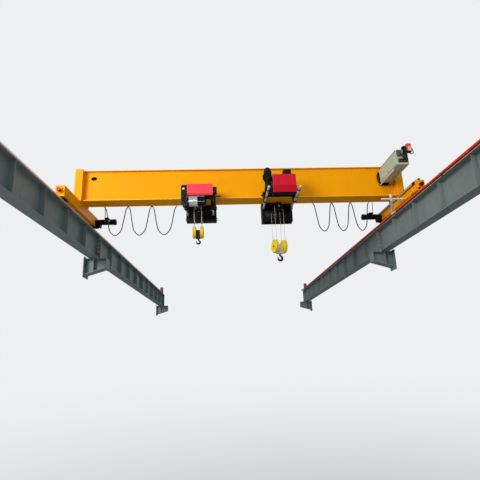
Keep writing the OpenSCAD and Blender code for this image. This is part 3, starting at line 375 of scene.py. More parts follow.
# Colour, roughness, metal, variation, scale of the pattern, dirt and its colour, and what else the surface has
paint = {
    # Crane yellow: its even light edges are a painted highlight, not wear.
    "yellow": finish_of("crane_yellow", (250, 166, 0), 0.5, 0, 0.05, 0.7, 0.06, OCHRE, 0.5,
                        linear(255, 204, 90), 0.005, 0.0005, 260, streaks=0.06, gloss=0.07, even=True),
    # A lighter yellow for painted highlights: light lines along the girder's edges and round the hand hole.
    "rim": finish_of("crane_yellow_painted_highlight", (255, 196, 70), 0.5, 0, 0.05, 2.0, 0.05, OCHRE, gloss=0.3),
    "runway": finish_of("runway_slate", (126, 141, 139), 0.55, 0, 0.1, 0.8, 0.2, (0.04, 0.045, 0.046, 1),
                        0.3, PALE, 0.005, 0.0006, 220, streaks=0.2, gloss=0.2),
    # Rail: near white, partly bright worn steel and partly painted light for the strong light on its inner
    # side.
    "rail": finish_of("rail_steel", (250, 222, 196), 0.5, 0.2, 0.12, 3.0, 0.2, RUST, grain=0.0005,
                      grain_scale=60, stretch=(1, 0.05, 1)),
    "clip": finish_of("clip_steel", (96, 92, 88), 0.5, 0.6, 0.2, 9.0, 0.35, RUST, grain=0.0005,
                      grain_scale=120),
    "stop": finish_of("stop_black", (20, 21, 23), 0.5, 0, 0.15, 3.0, 0.12, SOOT, 0.5, grain=0.0005,
                      gloss=0.2),
    "conductor": finish_of("conductor_red", (204, 50, 36), 0.5, 0, 0.1, 1.6, 0.2, (0.2, 0.01, 0.01, 1),
                           grain=0.0003, gloss=0.2),
    # Lighter red for a painted highlight along the conductor bar's upper edge.
    "lip": finish_of("conductor_painted_highlight", (246, 128, 100), 0.5, 0, 0.08, 1.6, 0.15, (0.3, 0.04, 0.03, 1),
                     grain=0.0003),
    # Dark red for painted shade: the conductor bar's lower part and the right buffers.
    "slot": finish_of("conductor_painted_shade", (62, 12, 10), 0.6, 0, 0.2, 1.6, 0.2, SOOT, grain=0.0003, gloss=0.2),
    "sleeve": finish_of("sleeve_pale", (232, 222, 202), 0.45, 0, 0.08, 14.0, 0.15, (0.3, 0.26, 0.2, 1),
                        grain=0.0003),
    "tray": finish_of("tray_tan", (214, 176, 116), 0.5, 0, 0.1, 6.0, 0.15, (0.3, 0.2, 0.08, 1), grain=0.0003),
    "zinc": finish_of("galvanised", (196, 199, 201), 0.42, 0.6, 0.12, 9.0, 0.12, DUST, grain=0.0003,
                      grain_scale=120),
    "rubber": finish_of("buffer_rubber", (196, 52, 34), 0.55, 0, 0.12, 9.0, 0.2, (0.16, 0.02, 0.01, 1),
                        grain=0.0006, grain_scale=240, gloss=0.4),
    "black": finish_of("machine_black", (15, 15, 17), 0.42, 0, 0.2, 5.0, 0.12, GREASE, 0.4, PALE, 0.004,
                       0.0005, 320, gloss=0.16),
    "cast": finish_of("cast_black", (16, 16, 18), 0.5, 0, 0.2, 8.0, 0.15, GREASE, 0.35, PALE, 0.004, 0.0012,
                      180, gloss=0.16),
    # Cabinet beige: its even light edges are a painted highlight, not wear.
    "beige": finish_of("cabinet_beige", (182, 190, 166), 0.45, 0, 0.04, 2.5, 0.1, (0.24, 0.2, 0.12, 1), 0.7,
                       linear(232, 230, 212), 0.007, 0.0004, 400, gloss=0.2, even=True),
    "panel": finish_of("panel_grey", (86, 88, 84), 0.5, 0, 0.1, 20.0, 0.2, SOOT, grain=0.0003, gloss=0.3),
    "signal": finish_of("signal_red", (234, 84, 56), 0.2, 0, 0.06, 12.0, 0.1, MUCK, grain=0.0002, coat=0.4),
    "pale": finish_of("signal_pale", (240, 208, 182), 0.3, 0, 0.05, 12.0, 0.1, MUCK, grain=0.0002),
    "cable": finish_of("cable_black", (18, 18, 20), 0.55, 0, 0.15, 12.0, 0.1, SOOT, grain=0.0004,
                       grain_scale=500, gloss=0.2),
    "steel": finish_of("worn_steel", (150, 148, 145), 0.36, 0.85, 0.15, 14.0, 0.4, (0.07, 0.05, 0.04, 1),
                       grain=0.0004, grain_scale=160),
    "wheel": finish_of("wheel_dark", (40, 39, 40), 0.45, 0.4, 0.2, 14.0, 0.3, SOOT, grain=0.0005,
                       grain_scale=160),
    "red": finish_of("cover_red", (206, 8, 38), 0.4, 0, 0.06, 2.0, 0.06, (0.3, 0.004, 0.015, 1), 0.2,
                     (0.5, 0.1, 0.1, 1), 0.004, 0.0004, gloss=0.22),
    "red_left": finish_of("cover_red_left", (244, 60, 74), 0.4, 0, 0.05, 2.0, 0.05, (0.5, 0.02, 0.03, 1),
                          0.2, (0.6, 0.2, 0.2, 1), 0.004, 0.0004, gloss=0.3),
    # Light red for painted highlights on the hoist covers' edges.
    "red_highlight": finish_of("cover_painted_highlight", (240, 92, 104), 0.4, 0, 0.05, 6.0, 0.05, (0.3, 0.01, 0.02, 1)),
    "rope": finish_of("rope_steel", (168, 167, 162), 0.45, 0.6, 0.2, 60.0, 0.3, (0.1, 0.09, 0.08, 1)),
    "guard": finish_of("guard_yellow", (255, 214, 18), 0.4, 0, 0.06, 6.0, 0.12, (0.4, 0.2, 0.01, 1), 0.4,
                       (0.2, 0.15, 0.1, 1), 0.006, 0.0005, gloss=0.2),
    "sheave": finish_of("sheave_iron", (40, 40, 41), 0.45, 0.4, 0.2, 12.0, 0.3, SOOT, grain=0.0006,
                        grain_scale=160, gloss=0.25),
    "bright": finish_of("bright_bar", (224, 224, 222), 0.3, 0.5, 0.08, 14.0, 0.15, PALE, grain=0.0003,
                        grain_scale=200),
    # Rope wound on the left drum: bright steel, made lighter still as a painted highlight.
    "wound": finish_of("painted_highlight_wound_rope", (236, 236, 233), 0.34, 0.45, 0.1, 40.0, 0.12, (0.3, 0.29, 0.28, 1)),
    # A dark copy of the wound rope: painted shade on the right drum at the rear.
    "wound_painted_shade": finish_of("painted_shade_wound_rope", (52, 51, 50), 0.45, 0.5, 0.15, 40.0, 0.3, SOOT),
    "drum": finish_of("drum_steel", (34, 34, 35), 0.42, 0.5, 0.2, 10.0, 0.3, SOOT, grain=0.0003, gloss=0.25),
    "head": finish_of("head_pale", (232, 230, 222), 0.4, 0.2, 0.08, 9.0, 0.2, (0.2, 0.19, 0.17, 1),
                      grain=0.0005),
    "hook": finish_of("hook_iron", (14, 14, 15), 0.45, 0, 0.2, 12.0, 0.15, SOOT, 0.2, PALE, 0.005, 0.0010,
                      140, gloss=0.16),
}

NODE_PAINT = {
    "runway": "runway_beams_near runway_beams_far wall_brackets",
    "rail": "rails",
    "stop": "end_stops",
    "conductor": "conductor_bar",
    "zinc": "conductor_hangers festoon_track carrier_left_outer carrier_left_inner carrier_right_inner "
            "carrier_right_outer",
    "yellow": "girder_top_flange girder_bottom_flange girder_web_front girder_web_rear girder_ends end_trucks",
    "wheel": "travel_wheel_left_front travel_wheel_left_rear travel_wheel_right_front travel_wheel_right_rear",
    "red": "hoist_right_cover",
    "red_left": "hoist_left_cover",
}


def dress_nodes():
    """Gives the carried-over CAD nodes their materials."""
    for look, names in NODE_PAINT.items():
        for name in names.split():
            piece = nodes[name]
            if not piece.material_slots:
                piece.data.materials.append(paint[look])
            for s in piece.material_slots:
                s.link = "OBJECT"
                s.material = paint[look]


dress_nodes()


# Camera

def make_camera():
    """The photograph's camera, on the floor in front of the crane, looking up at it."""
    yaw, pitch, roll = 0.043, 0.231, -0.036
    place = Vector((-0.462, -8.158, -3.393))
    fwd = Vector((math.sin(yaw) * math.cos(pitch), math.cos(yaw) * math.cos(pitch), math.sin(pitch)))
    level = Vector((math.cos(yaw), -math.sin(yaw), 0))
    rise = level.cross(fwd)
    right = math.cos(roll) * level + math.sin(roll) * rise
    up = -math.sin(roll) * level + math.cos(roll) * rise
    data = bpy.data.cameras.new("camera")
    data.sensor_width, data.lens = 36.0, 26.25
    data.shift_y = 0.0625
    data.clip_start, data.clip_end = 0.1, 300
    camera = bpy.data.objects.new("camera", data)
    camera.matrix_world = Matrix.Translation(place + SITE) @ Matrix((right, up, -fwd)).transposed().to_4x4()
    bpy.context.scene.collection.objects.link(camera)
    bpy.context.scene.camera = camera


make_camera()


# Cords

def smooth_path(points, step):
    """A curve through the points, with no corner, as points about step apart."""
    p = [Vector(q) for q in points]
    p = [2 * p[0] - p[1]] + p + [2 * p[-1] - p[-2]]
    out = []
    for a, b, c, d in zip(p, p[1:], p[2:], p[3:]):
        t = [0.0]
        for s, e in ((a, b), (b, c), (c, d)):
            t.append(t[-1] + max(1e-6, (e - s).length) ** 0.5)
        count = max(2, math.ceil((c - b).length / step))
        for k in range(count):
            u = t[1] + (t[2] - t[1]) * k / count
            x = a + (b - a) * (u - t[0]) / (t[1] - t[0])
            y = b + (c - b) * (u - t[1]) / (t[2] - t[1])
            z = c + (d - c) * (u - t[2]) / (t[3] - t[2])
            x = x + (y - x) * (u - t[0]) / (t[2] - t[0])
            y = y + (z - y) * (u - t[1]) / (t[3] - t[1])
            out.append(x + (y - x) * (u - t[1]) / (t[2] - t[1]))
    return out + [p[-2]]


def add_cord(name, route, diameter, body="bridge", replaces=None, blend=None, sides=10, side=(0, 1, 0),
             step=0.03):
    """A cord along a smooth curve through the route's points."""
    path = smooth_path(route, step)
    shape = Shape().tube(path, diameter / 2, sides, side)
    piece = shape.done(name, body, "cable", "cable_rubber", replaces, blend=blend)


def frame_point(x, y, z):
    return Vector((x, y, z)) + SITE


FESTOON_Y, FESTOON_Z, FESTOON_D = 0.56, 0.4577, 0.024
CARRIERS = {"left_outer": -2.98, "left_inner": -2.36, "right_inner": 2.46, "right_outer": 2.97}
LOOP = ((0.07, -0.06), (0.13, -0.23), (0.19, -0.46), (0.29, -0.69), (0.5, -0.8), (0.71, -0.69),
        (0.81, -0.46), (0.87, -0.23), (0.93, -0.06))


def make_festoon(side, stops):
    """A festoon cable that hangs in one loop from stop to stop, from the track's end to the trolley's arm."""
    route = [(stops[0], FESTOON_Y, FESTOON_Z)]
    for x0, x1 in zip(stops, stops[1:]):
        route += [(x0 + (x1 - x0) * u, FESTOON_Y, FESTOON_Z + w) for u, w in LOOP]
        route.append((x1, FESTOON_Y, FESTOON_Z))
    add_cord(f"festoon_cable_{side}_loops", route, FESTOON_D, None, f"festoon_cable_{side}",
             ("bridge", f"trolley_{side}", frame_point(stops[0], 0, 0), frame_point(stops[-1], 0, 0)))


make_festoon("left", (-3.6, CARRIERS["left_outer"], CARRIERS["left_inner"], -1.7))
make_festoon("right", (3.48, CARRIERS["right_outer"], CARRIERS["right_inner"], 1.94))
DRIVE_CABLE = [(x - 3.9, 0.5883 + 0.2064 * u, 0.145 + 0.437 * w) for x, u,
               w in ( (0.310, 0, 1), (0.309, 0.023, 0.812), (0.307, 0.086, 0.561), (0.303, 0.192, 0.263),
                     (0.298, 0.323, 0.011), (0.293, 0.483, -0.137), (0.289, 0.648, -0.153),
                     (0.286, 0.784, -0.062), (0.285, 0.875, 0.092), (0.285, 0.94, 0.183), (0.285, 1, 0.183))]
DRIVE_CABLE_D = 0.016
add_cord("drive_cable_left", DRIVE_CABLE, DRIVE_CABLE_D, replaces="drive_cables", side=(1, 0, 0))
add_cord("drive_cable_right", [(-x, y, z) for x, y, z in DRIVE_CABLE], DRIVE_CABLE_D, side=(1, 0, 0))


# Runway

RAIL_X, NEAR, FAR = 4.0, -8.8, 11.2
BEAM_TOP, BEAM_LOW = -0.134, -0.784
BEAM_JOINT_Y, STOP_Z = 1.2, 0.155
STIFFENER_PITCH = 1.0
HANGERS = 12


def make_runway():
    welds, clips, bolts = shapes(3)
    for mirror in (False, True):
        put(at(-RAIL_X, mirror=mirror), welds, clips, bolts)
        for side in (-1, 1):
            web, foot = side * 0.005, side * 0.057
            bead(welds, "y", NEAR + 0.012, FAR - 0.012, (web, BEAM_TOP - 0.016), (side * 0.009, -0.009))
            bead(welds, "y", NEAR + 0.012, FAR - 0.012, (web, BEAM_LOW + 0.016), (side * 0.009, 0.009))
            for k in (*range(1, 10), *range(11, 20)):
                y = NEAR + k * STIFFENER_PITCH
                for turn in (-1, 1):
                    bead(welds, "z", BEAM_LOW + 0.02, BEAM_TOP - 0.02, (web, y + turn * 0.006),
                         (side * 0.008, turn * 0.008))
            for k in range(33):
                y = NEAR + 0.4 + k * 0.6
                inner = foot + side * 0.001
                clips.block((inner, y - 0.03, BEAM_TOP), (inner + side * 0.05, y + 0.03, BEAM_TOP + 0.014))
                over, heel = side * 0.045, foot + side * 0.045
                jaw = [(over, 0.0135), (heel, 0.0135), (heel, 0.022), (foot + side * 0.01, 0.028),
                       (over, 0.024)]
                clips.prism("y", y - 0.024, y + 0.024, moved(jaw, 0, BEAM_TOP))
                bolts.bolt((foot + side * 0.03, y, BEAM_TOP + 0.0235), UP, 0.018)
        for y in (NEAR + 0.17, BEAM_JOINT_Y, FAR - 0.17):
            for x in (-0.095, 0.095):
                for dy in (-0.07, 0.07):
                    bolts.bolt((x, y + dy, BEAM_LOW - 0.016), DOWN, 0.024)
                    bolts.bolt((x, y + dy, BEAM_LOW + 0.016), UP, 0.024)
        for z in (-0.7, -0.58, -0.46, -0.34, -0.22):
            for x in (-0.07, 0.07):
                bolts.bolt((x, BEAM_JOINT_Y - 0.012, z), FRONT, 0.024)
                bolts.bolt((x, BEAM_JOINT_Y + 0.012, z), (0, 1, 0), 0.024)
        for y in (NEAR + 0.04, FAR - 0.04):
            for x in (-0.065, 0.065):
                bolts.bolt((x, y, BEAM_TOP + 0.016), UP, 0.024)
    welds.done("runway_welds", "runway", "runway", "runway_paint")
    clips.done("rail_clips", "runway", "clip", "galvanised_steel", edge=0.001)
    bolts.done("runway_bolts", "runway", "zinc", "galvanised_steel")

    pads = Shape()
    for x in (-RAIL_X, RAIL_X):
        for y, way in ((NEAR + 0.15, 1), (FAR - 0.15, -1)):
            pads.lathe("y", (x, STOP_Z), [
                (0, y), (0.055, y), (0.055, y + way * 0.006), (0.045, y + way * 0.012),
                (0, y + way * 0.012)], 28)
    pads.done("stop_pads", "runway", "rubber", "buffer_rubber")

    supply = Shape()
    bar_x, bar_low = RAIL_X - 0.13 - 0.058, -0.154
    for k in range(5):
        y = NEAR + 2.0 + k * 4.0
        supply.block((bar_x - 0.0135, y - 0.09, bar_low + 0.008),
                     (bar_x + 0.0125, y + 0.09, bar_low + 0.0615))
    for y in (NEAR + 0.015, FAR - 0.015):
        supply.block((bar_x - 0.0135, y - 0.014, bar_low), (bar_x + 0.0135, y + 0.014, bar_low + 0.0612))
    supply.done("conductor_joints", "runway", "conductor", "conductor_cover", edge=0.002)
    lip, slot = shapes(2)
    # A light red strip along the bar's upper edge: a painted highlight.
    lip.block((bar_x - 0.0145, NEAR + 0.03, bar_low + 0.05), (bar_x - 0.011, FAR - 0.03, bar_low + 0.0605))
    # Dark strips low on the bar's side and along its underside: painted shade.
    slot.block((bar_x - 0.0128, NEAR + 0.03, bar_low + 0.001), (bar_x - 0.011, FAR - 0.03, bar_low + 0.018))
    slot.block((bar_x - 0.008, NEAR + 0.03, bar_low - 0.0006), (bar_x + 0.008, FAR - 0.03, bar_low + 0.001))
    lip.done("conductor_painted_highlight", "runway", "lip", "conductor_cover", edge=0.001)
    slot.done("conductor_painted_shade", "runway", "slot", "conductor_cover")
    fixings = Shape()
    for k in range(HANGERS):
        y = NEAR + 0.4 + k * 1.6
        fixings.block((bar_x - 0.016, y - 0.02, bar_low + 0.0601), (bar_x + 0.02, y + 0.02, bar_low + 0.066))
        fixings.block((bar_x - 0.016, y - 0.02, bar_low + 0.03), (bar_x - 0.0121, y + 0.02, bar_low + 0.066))
        fixings.bolt((bar_x + 0.045, y, BEAM_TOP + 0.006), UP, 0.014)
        fixings.bolt((bar_x + 0.13, y, BEAM_TOP + 0.006), UP, 0.014)
    fixings.done("conductor_fixings", "runway", "zinc", "galvanised_steel")


make_runway()


# Bridge

GIRDER_END = 3.88
AXLE_Y, TRUCK_AXLE_Z, TRUCK_END = 0.85, 0.1003, 1.04
TRUCK_IN = 3.9


def make_girder():
    welds, bolts = shapes(2)
    top, low = 1.115 - 0.012, 0.315
    for side in (-1, 1):
        face = side * 0.11
        bead(welds, "x", -GIRDER_END, GIRDER_END, (face, low), (side * 0.008, 0.008))
        bead(welds, "x", -GIRDER_END, GIRDER_END, (face, top), (side * 0.006, -0.006))
        for x, way in ((-GIRDER_END, 1), (GIRDER_END, -1)):
            bead(welds, "z", low, top, (x, face), (way * 0.007, side * 0.007))
            bead(welds, "y", face, side * 0.1925, (x, low), (way * 0.006, 0.006))
    for mirror in (False, True):
        put(at(mirror=mirror), welds, bolts)
        for y in (-0.215, -0.13, 0.13, 0.215):
            for x in (-4.03, -3.92):
                bolts.bolt((x, y, 0.3), UP, 0.03)
        for side in (-1, 1):
            bead(welds, "z", 0.3, 1.105, (-3.89, side * 0.24), (-0.006, side * -0.006))
    # Thin strips of lighter yellow along the girder's front edges and end box edges: painted highlights.
    edges = Shape()
    edges.block((-3.88, -0.1606, 1.1), (3.88, -0.159, 1.1148))
    edges.block((-3.88, -0.1931, 0.3003), (3.88, -0.1915, 0.3147))
    for x0, x1 in ((-4.0602, -4.05), (-3.8895, -3.8798), (3.8798, 3.8895), (4.05, 4.0602)):
        edges.block((x0, -0.2506, 0.31), (x1, -0.2495, 1.112))
    for x0, x1 in ((-4.06, -3.88), (3.88, 4.06)):
        edges.block((x0, -0.2506, 1.104), (x1, -0.2495, 1.1148))
    edges.done("girder_painted_highlights", "bridge", "rim", "crane_paint")
    welds.done("girder_welds", "bridge", "yellow", "crane_paint")
    bolts.done("girder_end_bolts", "bridge", "zinc", "galvanised_steel")

    # The hand hole's rim, in the lighter yellow of a painted highlight.
    rim = Shape()
    hole = rounded(0.158, 0.108, 0.054, 10)
    inner = rounded(0.146, 0.096, 0.048, 10)
    n = len(hole)
    y0, y1 = -0.1128, -0.1095
    points = [(u - 3.65, y, v + 0.915) for ring in (hole, inner) for y in (y0, y1) for u, v in ring]
    faces = []
    for i in range(n):
        j = (i + 1) % n
        faces += [(i, j, n + j, n + i), (2 * n + i, 3 * n + i, 3 * n + j, 2 * n + j),
                  (i, 2 * n + i, 2 * n + j, j), (n + i, n + j, 3 * n + j, 3 * n + i)]
    rim.add(points, faces)
    rim.done("hand_hole_rim", "bridge", "rim", "crane_paint")


def make_trucks():
    caps, bolts, strips, dark = shapes(4)
    for mirror in (False, True):
        put(at(-RAIL_X, 0, 0, mirror=mirror), caps, bolts, strips, dark)
        for y in (-AXLE_Y, AXLE_Y):
            for side in (-1, 1):
                if side > 0 and y > 0:
                    continue
                x = side * 0.1
                profile = [(0.028, x - side * 0.001), (0.062, x - side * 0.001), (0.062, x + side * 0.010),
                           (0.058, x + side * 0.014), (0.04, x + side * 0.014), (0.036, x + side * 0.022),
                           (0, x + side * 0.022)]
                caps.lathe("x", (y, TRUCK_AXLE_Z), profile, 36)
                for u, v in ring_of(4, 0.05, math.pi / 4):
                    bolts.bolt((x + side * 0.014, y + u, TRUCK_AXLE_Z + v), (side, 0, 0), 0.013)
        for way in (-1, 1):
            y = way * TRUCK_END
            for x in (-0.045, 0.045):
                for z in (0.11, 0.2):
                    bolts.bolt((x, y + way * 0.012, z), (0, way, 0), 0.016)
        if mirror:
            strips.block((0.1, -0.94, 0.2), (0.136, 0.7, 0.204))
            strips.block((0.132, -0.94, 0.204), (0.136, 0.7, 0.24))
            # Two black rods above and below the cable tray: painted shade lines.
            for z in (0.196, 0.246):
                dark.rod("y", -0.95, 0.71, (0.13, z), 0.014, 12)
            dark.block((0.098, -0.99, 0.19), (0.14, -0.94, 0.252))
            for x, z in ((0.02, 0.296), (0.045, 0.072), (-0.045, 0.082)):
                dark.rod("y", -1.062, -1.0, (x, z), 0.044, 24, 0.008)
            dark.block((0.01, -1.04, 0.27), (0.03, -1.01, 0.296))
    caps.done("axle_caps", "bridge", "yellow", "crane_paint", edge=0.001)
    bolts.done("truck_bolts", "bridge", "yellow", "crane_paint")
    strips.done("truck_cable_tray", "bridge", "tray", "galvanised_steel", edge=0.001)
    dark.done("truck_fittings_and_painted_shade", "bridge", "black", "bracket_paint", edge=0.001)


def make_buffers():
    rubber, plates = shapes(2)
    for x in (-RAIL_X, RAIL_X):
        # The right buffers take the dark red of painted shade; the left ones keep the rubber's red.
        rubber.mat = 0 if x < 0 else 1
        for way in (-1, 1):
            y = way * TRUCK_END
            plates.block((x - 0.06, y, 0.095), (x + 0.06, y + way * 0.012, 0.215))
            profile = [(0, 0.012), (0.038, 0.012), (0.04, 0.02), (0.036, 0.03), (0.043, 0.042),
                       (0.045, 0.07), (0.043, 0.082), (0.034, 0.09), (0, 0.09)]
            rubber.lathe("y", (x, STOP_Z), [(r, y + way * a) for r, a in profile], 40)
    plates.done("buffer_plates", "bridge", "yellow", "crane_paint", edge=0.0015)
    rubber.done("buffer_rubbers", "bridge", "rubber slot", "buffer_rubber", "buffers")


def motor(shape, x0, x1, d, centre, fins=28, axis="x"):
    """A finned motor body between two end shields."""
    u, v = centre
    core, tip = d * 0.44, d * 0.5
    a0, a1 = x0 + 0.03, x1 - 0.02
    outline = []
    for k in range(fins):
        t = 2 * math.pi * k / fins
        w = 2 * math.pi / fins * 0.18
        for r, dt in ((core, -2.2 * w), (tip, -0.8 * w), (tip, 0.8 * w), (core, 2.2 * w)):
            outline.append((u + r * math.cos(t + dt), v + r * math.sin(t + dt)))
    shape.prism(axis, a0, a1, outline)
    shape.lathe(axis, centre, [(0, x0), (tip, x0), (tip, x0 + 0.02), (tip * 0.96, a0 + 0.002),
                               (0, a0 + 0.002)], 40)
    shape.lathe(axis, centre, [(0, a1 - 0.002), (tip * 0.97, a1 - 0.002), (tip, a1 + 0.006),
                               (tip, x1 + 0.002), (0, x1 + 0.002)], 40)


def fan_cowl(shape, x0, x1, d, centre):
    """A fan cowl on a motor's end, with rings and bars across its open face. It opens towards x1."""
    r, way = d / 2, 1 if x1 > x0 else -1
    sunk = x1 - way * 0.006
    shape.lathe("x", centre, [(r - 0.003, x0), (r, x0), (r, x1 - way * 0.012), (r - 0.004, x1 - way * 0.004),
                              (r - 0.014, x1), (r * 0.78, x1), (r * 0.78, sunk), (0, sunk)], 44)
    for q in (0.3, 0.45, 0.6, 0.72):
        inner, outer, behind = r * q, r * q + 0.004, x1 - way * 0.007
        shape.lathe("x", centre, [(inner, behind), (inner, x1), (outer, x1), (outer, behind)], 32)
    reach, half = r * 0.77, 0.003
    for k in range(4):
        t = math.pi * k / 4
        du, dv = math.cos(t), math.sin(t)
        outline = [(centre[0] + a * reach * du - b * half * dv, centre[1] + a * reach * dv + b * half * du)
                   for a, b in ((1, 1), (-1, 1), (-1, -1), (1, -1))]
        shape.prism("x", x1, x1 - way * 0.005, outline)


def make_travel_drives():
    """Gearbox, finned motor, fan cowl and terminal box, on each truck's inner face."""
    body, bolts = shapes(2)
    y, z = AXLE_Y, 0.145
    for mirror in (False, True):
        put(at(-TRUCK_IN, mirror=mirror), body, bolts)
        outline = bow((y, z - 0.01), 0.085, 0, 180, 12) + bow((y, z - 0.1), 0.07, 180, 360, 12)
        small = [(y + (u - y) * 0.9, z - 0.05 + (v - z + 0.05) * 0.92) for u, v in outline]
        body.prism("x", 0, 0.022, outline)
        body.prism("x", 0.02, 0.108, small)
        body.prism("x", 0.1, 0.13, outline)
        body.prism("x", 0.055, 0.067, [
            (y + (u - y) * 0.97, z - 0.05 + (v - z + 0.05) * 0.975) for u, v in outline])
        body.rod("x", 0.128, 0.14, (y, z), 0.149, 36, 0.002)
        motor(body, 0.14, 0.46, 0.15, (y, z))
        fan_cowl(body, 0.455, 0.53, 0.162, (y, z))
        box_x = 0.285
        box = moved(rounded(0.11, 0.11, 0.012), box_x, y)
        body.prism("z", z + 0.055, z + 0.1, box)
        body.prism("z", z + 0.1, z + 0.115, box)
        body.lathe("z", (box_x, y), [
            (0, z + 0.114), (0.03, z + 0.114), (0.028, z + 0.1149), (0, z + 0.1149)], 20)
        gland(body, (0.342, y + 0.02, z + 0.078), (1, 0, 0), 0.02)
        for u, v in corners(0.045, 0.045):
            body.lathe("z", (box_x + u, y + v), [
                (0, z + 0.1148), (0.005, z + 0.1148), (0.005, z + 0.1150), (0, z + 0.115)], 10)
        for a in range(20, 180, 35):
            for x, r in ((0.022, 0.081), (0.13, 0.0775)):
                bolts.bolt((x, *bow((y, z - 0.01), r, a, a, 1)[0]), (1, 0, 0), 0.010, washer=False)
        for u, v in ring_of(4, 0.068, math.pi / 4):
            bolts.bolt((0.14, y + u, z + v), (-1, 0, 0), 0.010, washer=False)
    body.done("travel_drive_units", "bridge", "cast", "drive_paint", "travel_drives", edge=0.0015)
    cap = Shape()
    cap.place = at(-TRUCK_IN, y, z)
    cap.lathe("y", (0.37, 0.012), [
        (0, -0.0745), (0.024, -0.0745), (0.024, -0.081), (0.02, -0.084), (0, -0.084)], 28)
    cap.done("drive_cap", "bridge", "head", "drive_paint")
    bolts.done("travel_drive_bolts", "bridge", "zinc", "galvanised_steel")


def make_cabinet():
    """The control cabinet with its door, hinges, locks, rain lip and the connectors on its near end."""
    x0, x1, y0, y1, z0, z1 = 3.515, 3.805, -1.06, -0.17, 0.66, 1.02
    case = Shape()
    case.block((x0 + 0.018, y0, z0), (x1, y1, z1))
    case.block((x0 + 0.0165, y0 + 0.004, z0 + 0.004), (x0 + 0.019, y1 - 0.004, z1 - 0.004))
    case.block((x0 + 0.0008, y0 + 0.013, z0 + 0.013), (x0 + 0.0165, y1 - 0.013, z1 - 0.013))
    case.done("cabinet_case", "bridge", "beige", "cabinet_paint", "control_cabinet", edge=0.004)
    trim = Shape()
    trim.prism("y", y0 + 0.004, y1 - 0.004, [
        (x0 + 0.002, z1 - 0.008), (x0 + 0.018, z1 - 0.008), (x0 + 0.018, z1 - 0.0005),
        (x0 + 0.002, z1 - 0.004)])
    for y in (y0 + 0.14, (y0 + y1) / 2, y1 - 0.14):
        trim.rod("y", y - 0.03, y + 0.03, (x0 + 0.01, z1 - 0.012), 0.014, 16, 0.001)
        trim.lathe("x", (y, z0 + 0.05), [
            (0, x0 + 0.003), (0.014, x0 + 0.003), (0.014, x0 + 0.0005), (0.012, x0), (0.005, x0),
            (0.005, x0 + 0.002), (0, x0 + 0.002)], 24)
    trim.block((x0 - 0.0008, y0, z1 - 0.016), (x0 + 0.0016, y1, z1))
    trim.rod("x", x0 - 0.004, x0 + 0.002, (y0 + 0.02, z1 - 0.012), 0.022, 16)
    trim.done("cabinet_fittings", "bridge", "black", "bracket_paint", edge=0.0008)
    add_cord("cabinet_lead_1", [
        (3.512, -0.1207, 0.98), (3.502, -0.135, 0.94), (3.498, -0.15, 0.85), (3.497, -0.155, 0.75),
        (3.5, -0.16, 0.68), (3.516, -0.175, 0.645), (3.56, -0.185, 0.632), (3.66, -0.185, 0.63),
        (3.73, -0.18, 0.64)], 0.021, "bridge", step=0.02)
    add_cord("cabinet_lead_2", [
        (3.51, -0.1197, 0.96), (3.492, -0.125, 0.93), (3.472, -0.13, 0.88), (3.466, -0.135, 0.8),
        (3.474, -0.145, 0.73), (3.492, -0.155, 0.67), (3.515, -0.165, 0.64)], 0.017, "bridge", step=0.02)
    strip, nuts = shapes(2)
    strip.block((x0 + 0.045, y0 - 0.012, z0 + 0.05), (x1 - 0.015, y0 + 0.001, z0 + 0.145))
    strip.block((x0 + 0.028, y0 - 0.03, z1 - 0.15), (x0 + 0.125, y0 + 0.001, z1 - 0.012))
    strip.block((x0 + 0.024, y0 - 0.034, z1 - 0.06), (x0 + 0.129, y0 - 0.0295, z1 - 0.008))
    for row in (0, 1):
        for k in range(6):
            gland(strip if (k + row) % 2 else nuts, (x0 + 0.07 + k * 0.037, y0 - 0.012,
                                                     z0 + 0.075 + row * 0.045), FRONT, 0.024)
    for u in (0.05, 0.1):
        gland(strip, (x0 + u, y0 - 0.015, z1 - 0.15), DOWN, 0.02)
    strip.done("cabinet_connectors", "bridge", "panel", "bracket_paint", edge=0.0012)
    nuts.done("cabinet_glands", "bridge", "black", "bracket_paint")
    bracket = Shape()
    bracket.block((x0, -0.12, z0 - 0.05), (x1, -0.11, z1 - 0.05))
    bracket.block((x0, y1, z0), (x1, -0.12, z0 + 0.05))
    bracket.mat = 1
    for x in (x0 + 0.01, x1 - 0.06):
        bracket.block((x, -0.882, z0 - 0.01), (x + 0.05, -0.12, z0))
        bracket.block((x, -0.882, z0 - 0.05), (x + 0.01, -0.12, z0 - 0.01))
    bracket.done("cabinet_bracket_frame", "bridge", "black beige", "bracket_paint", "cabinet_bracket",
                 edge=0.001)


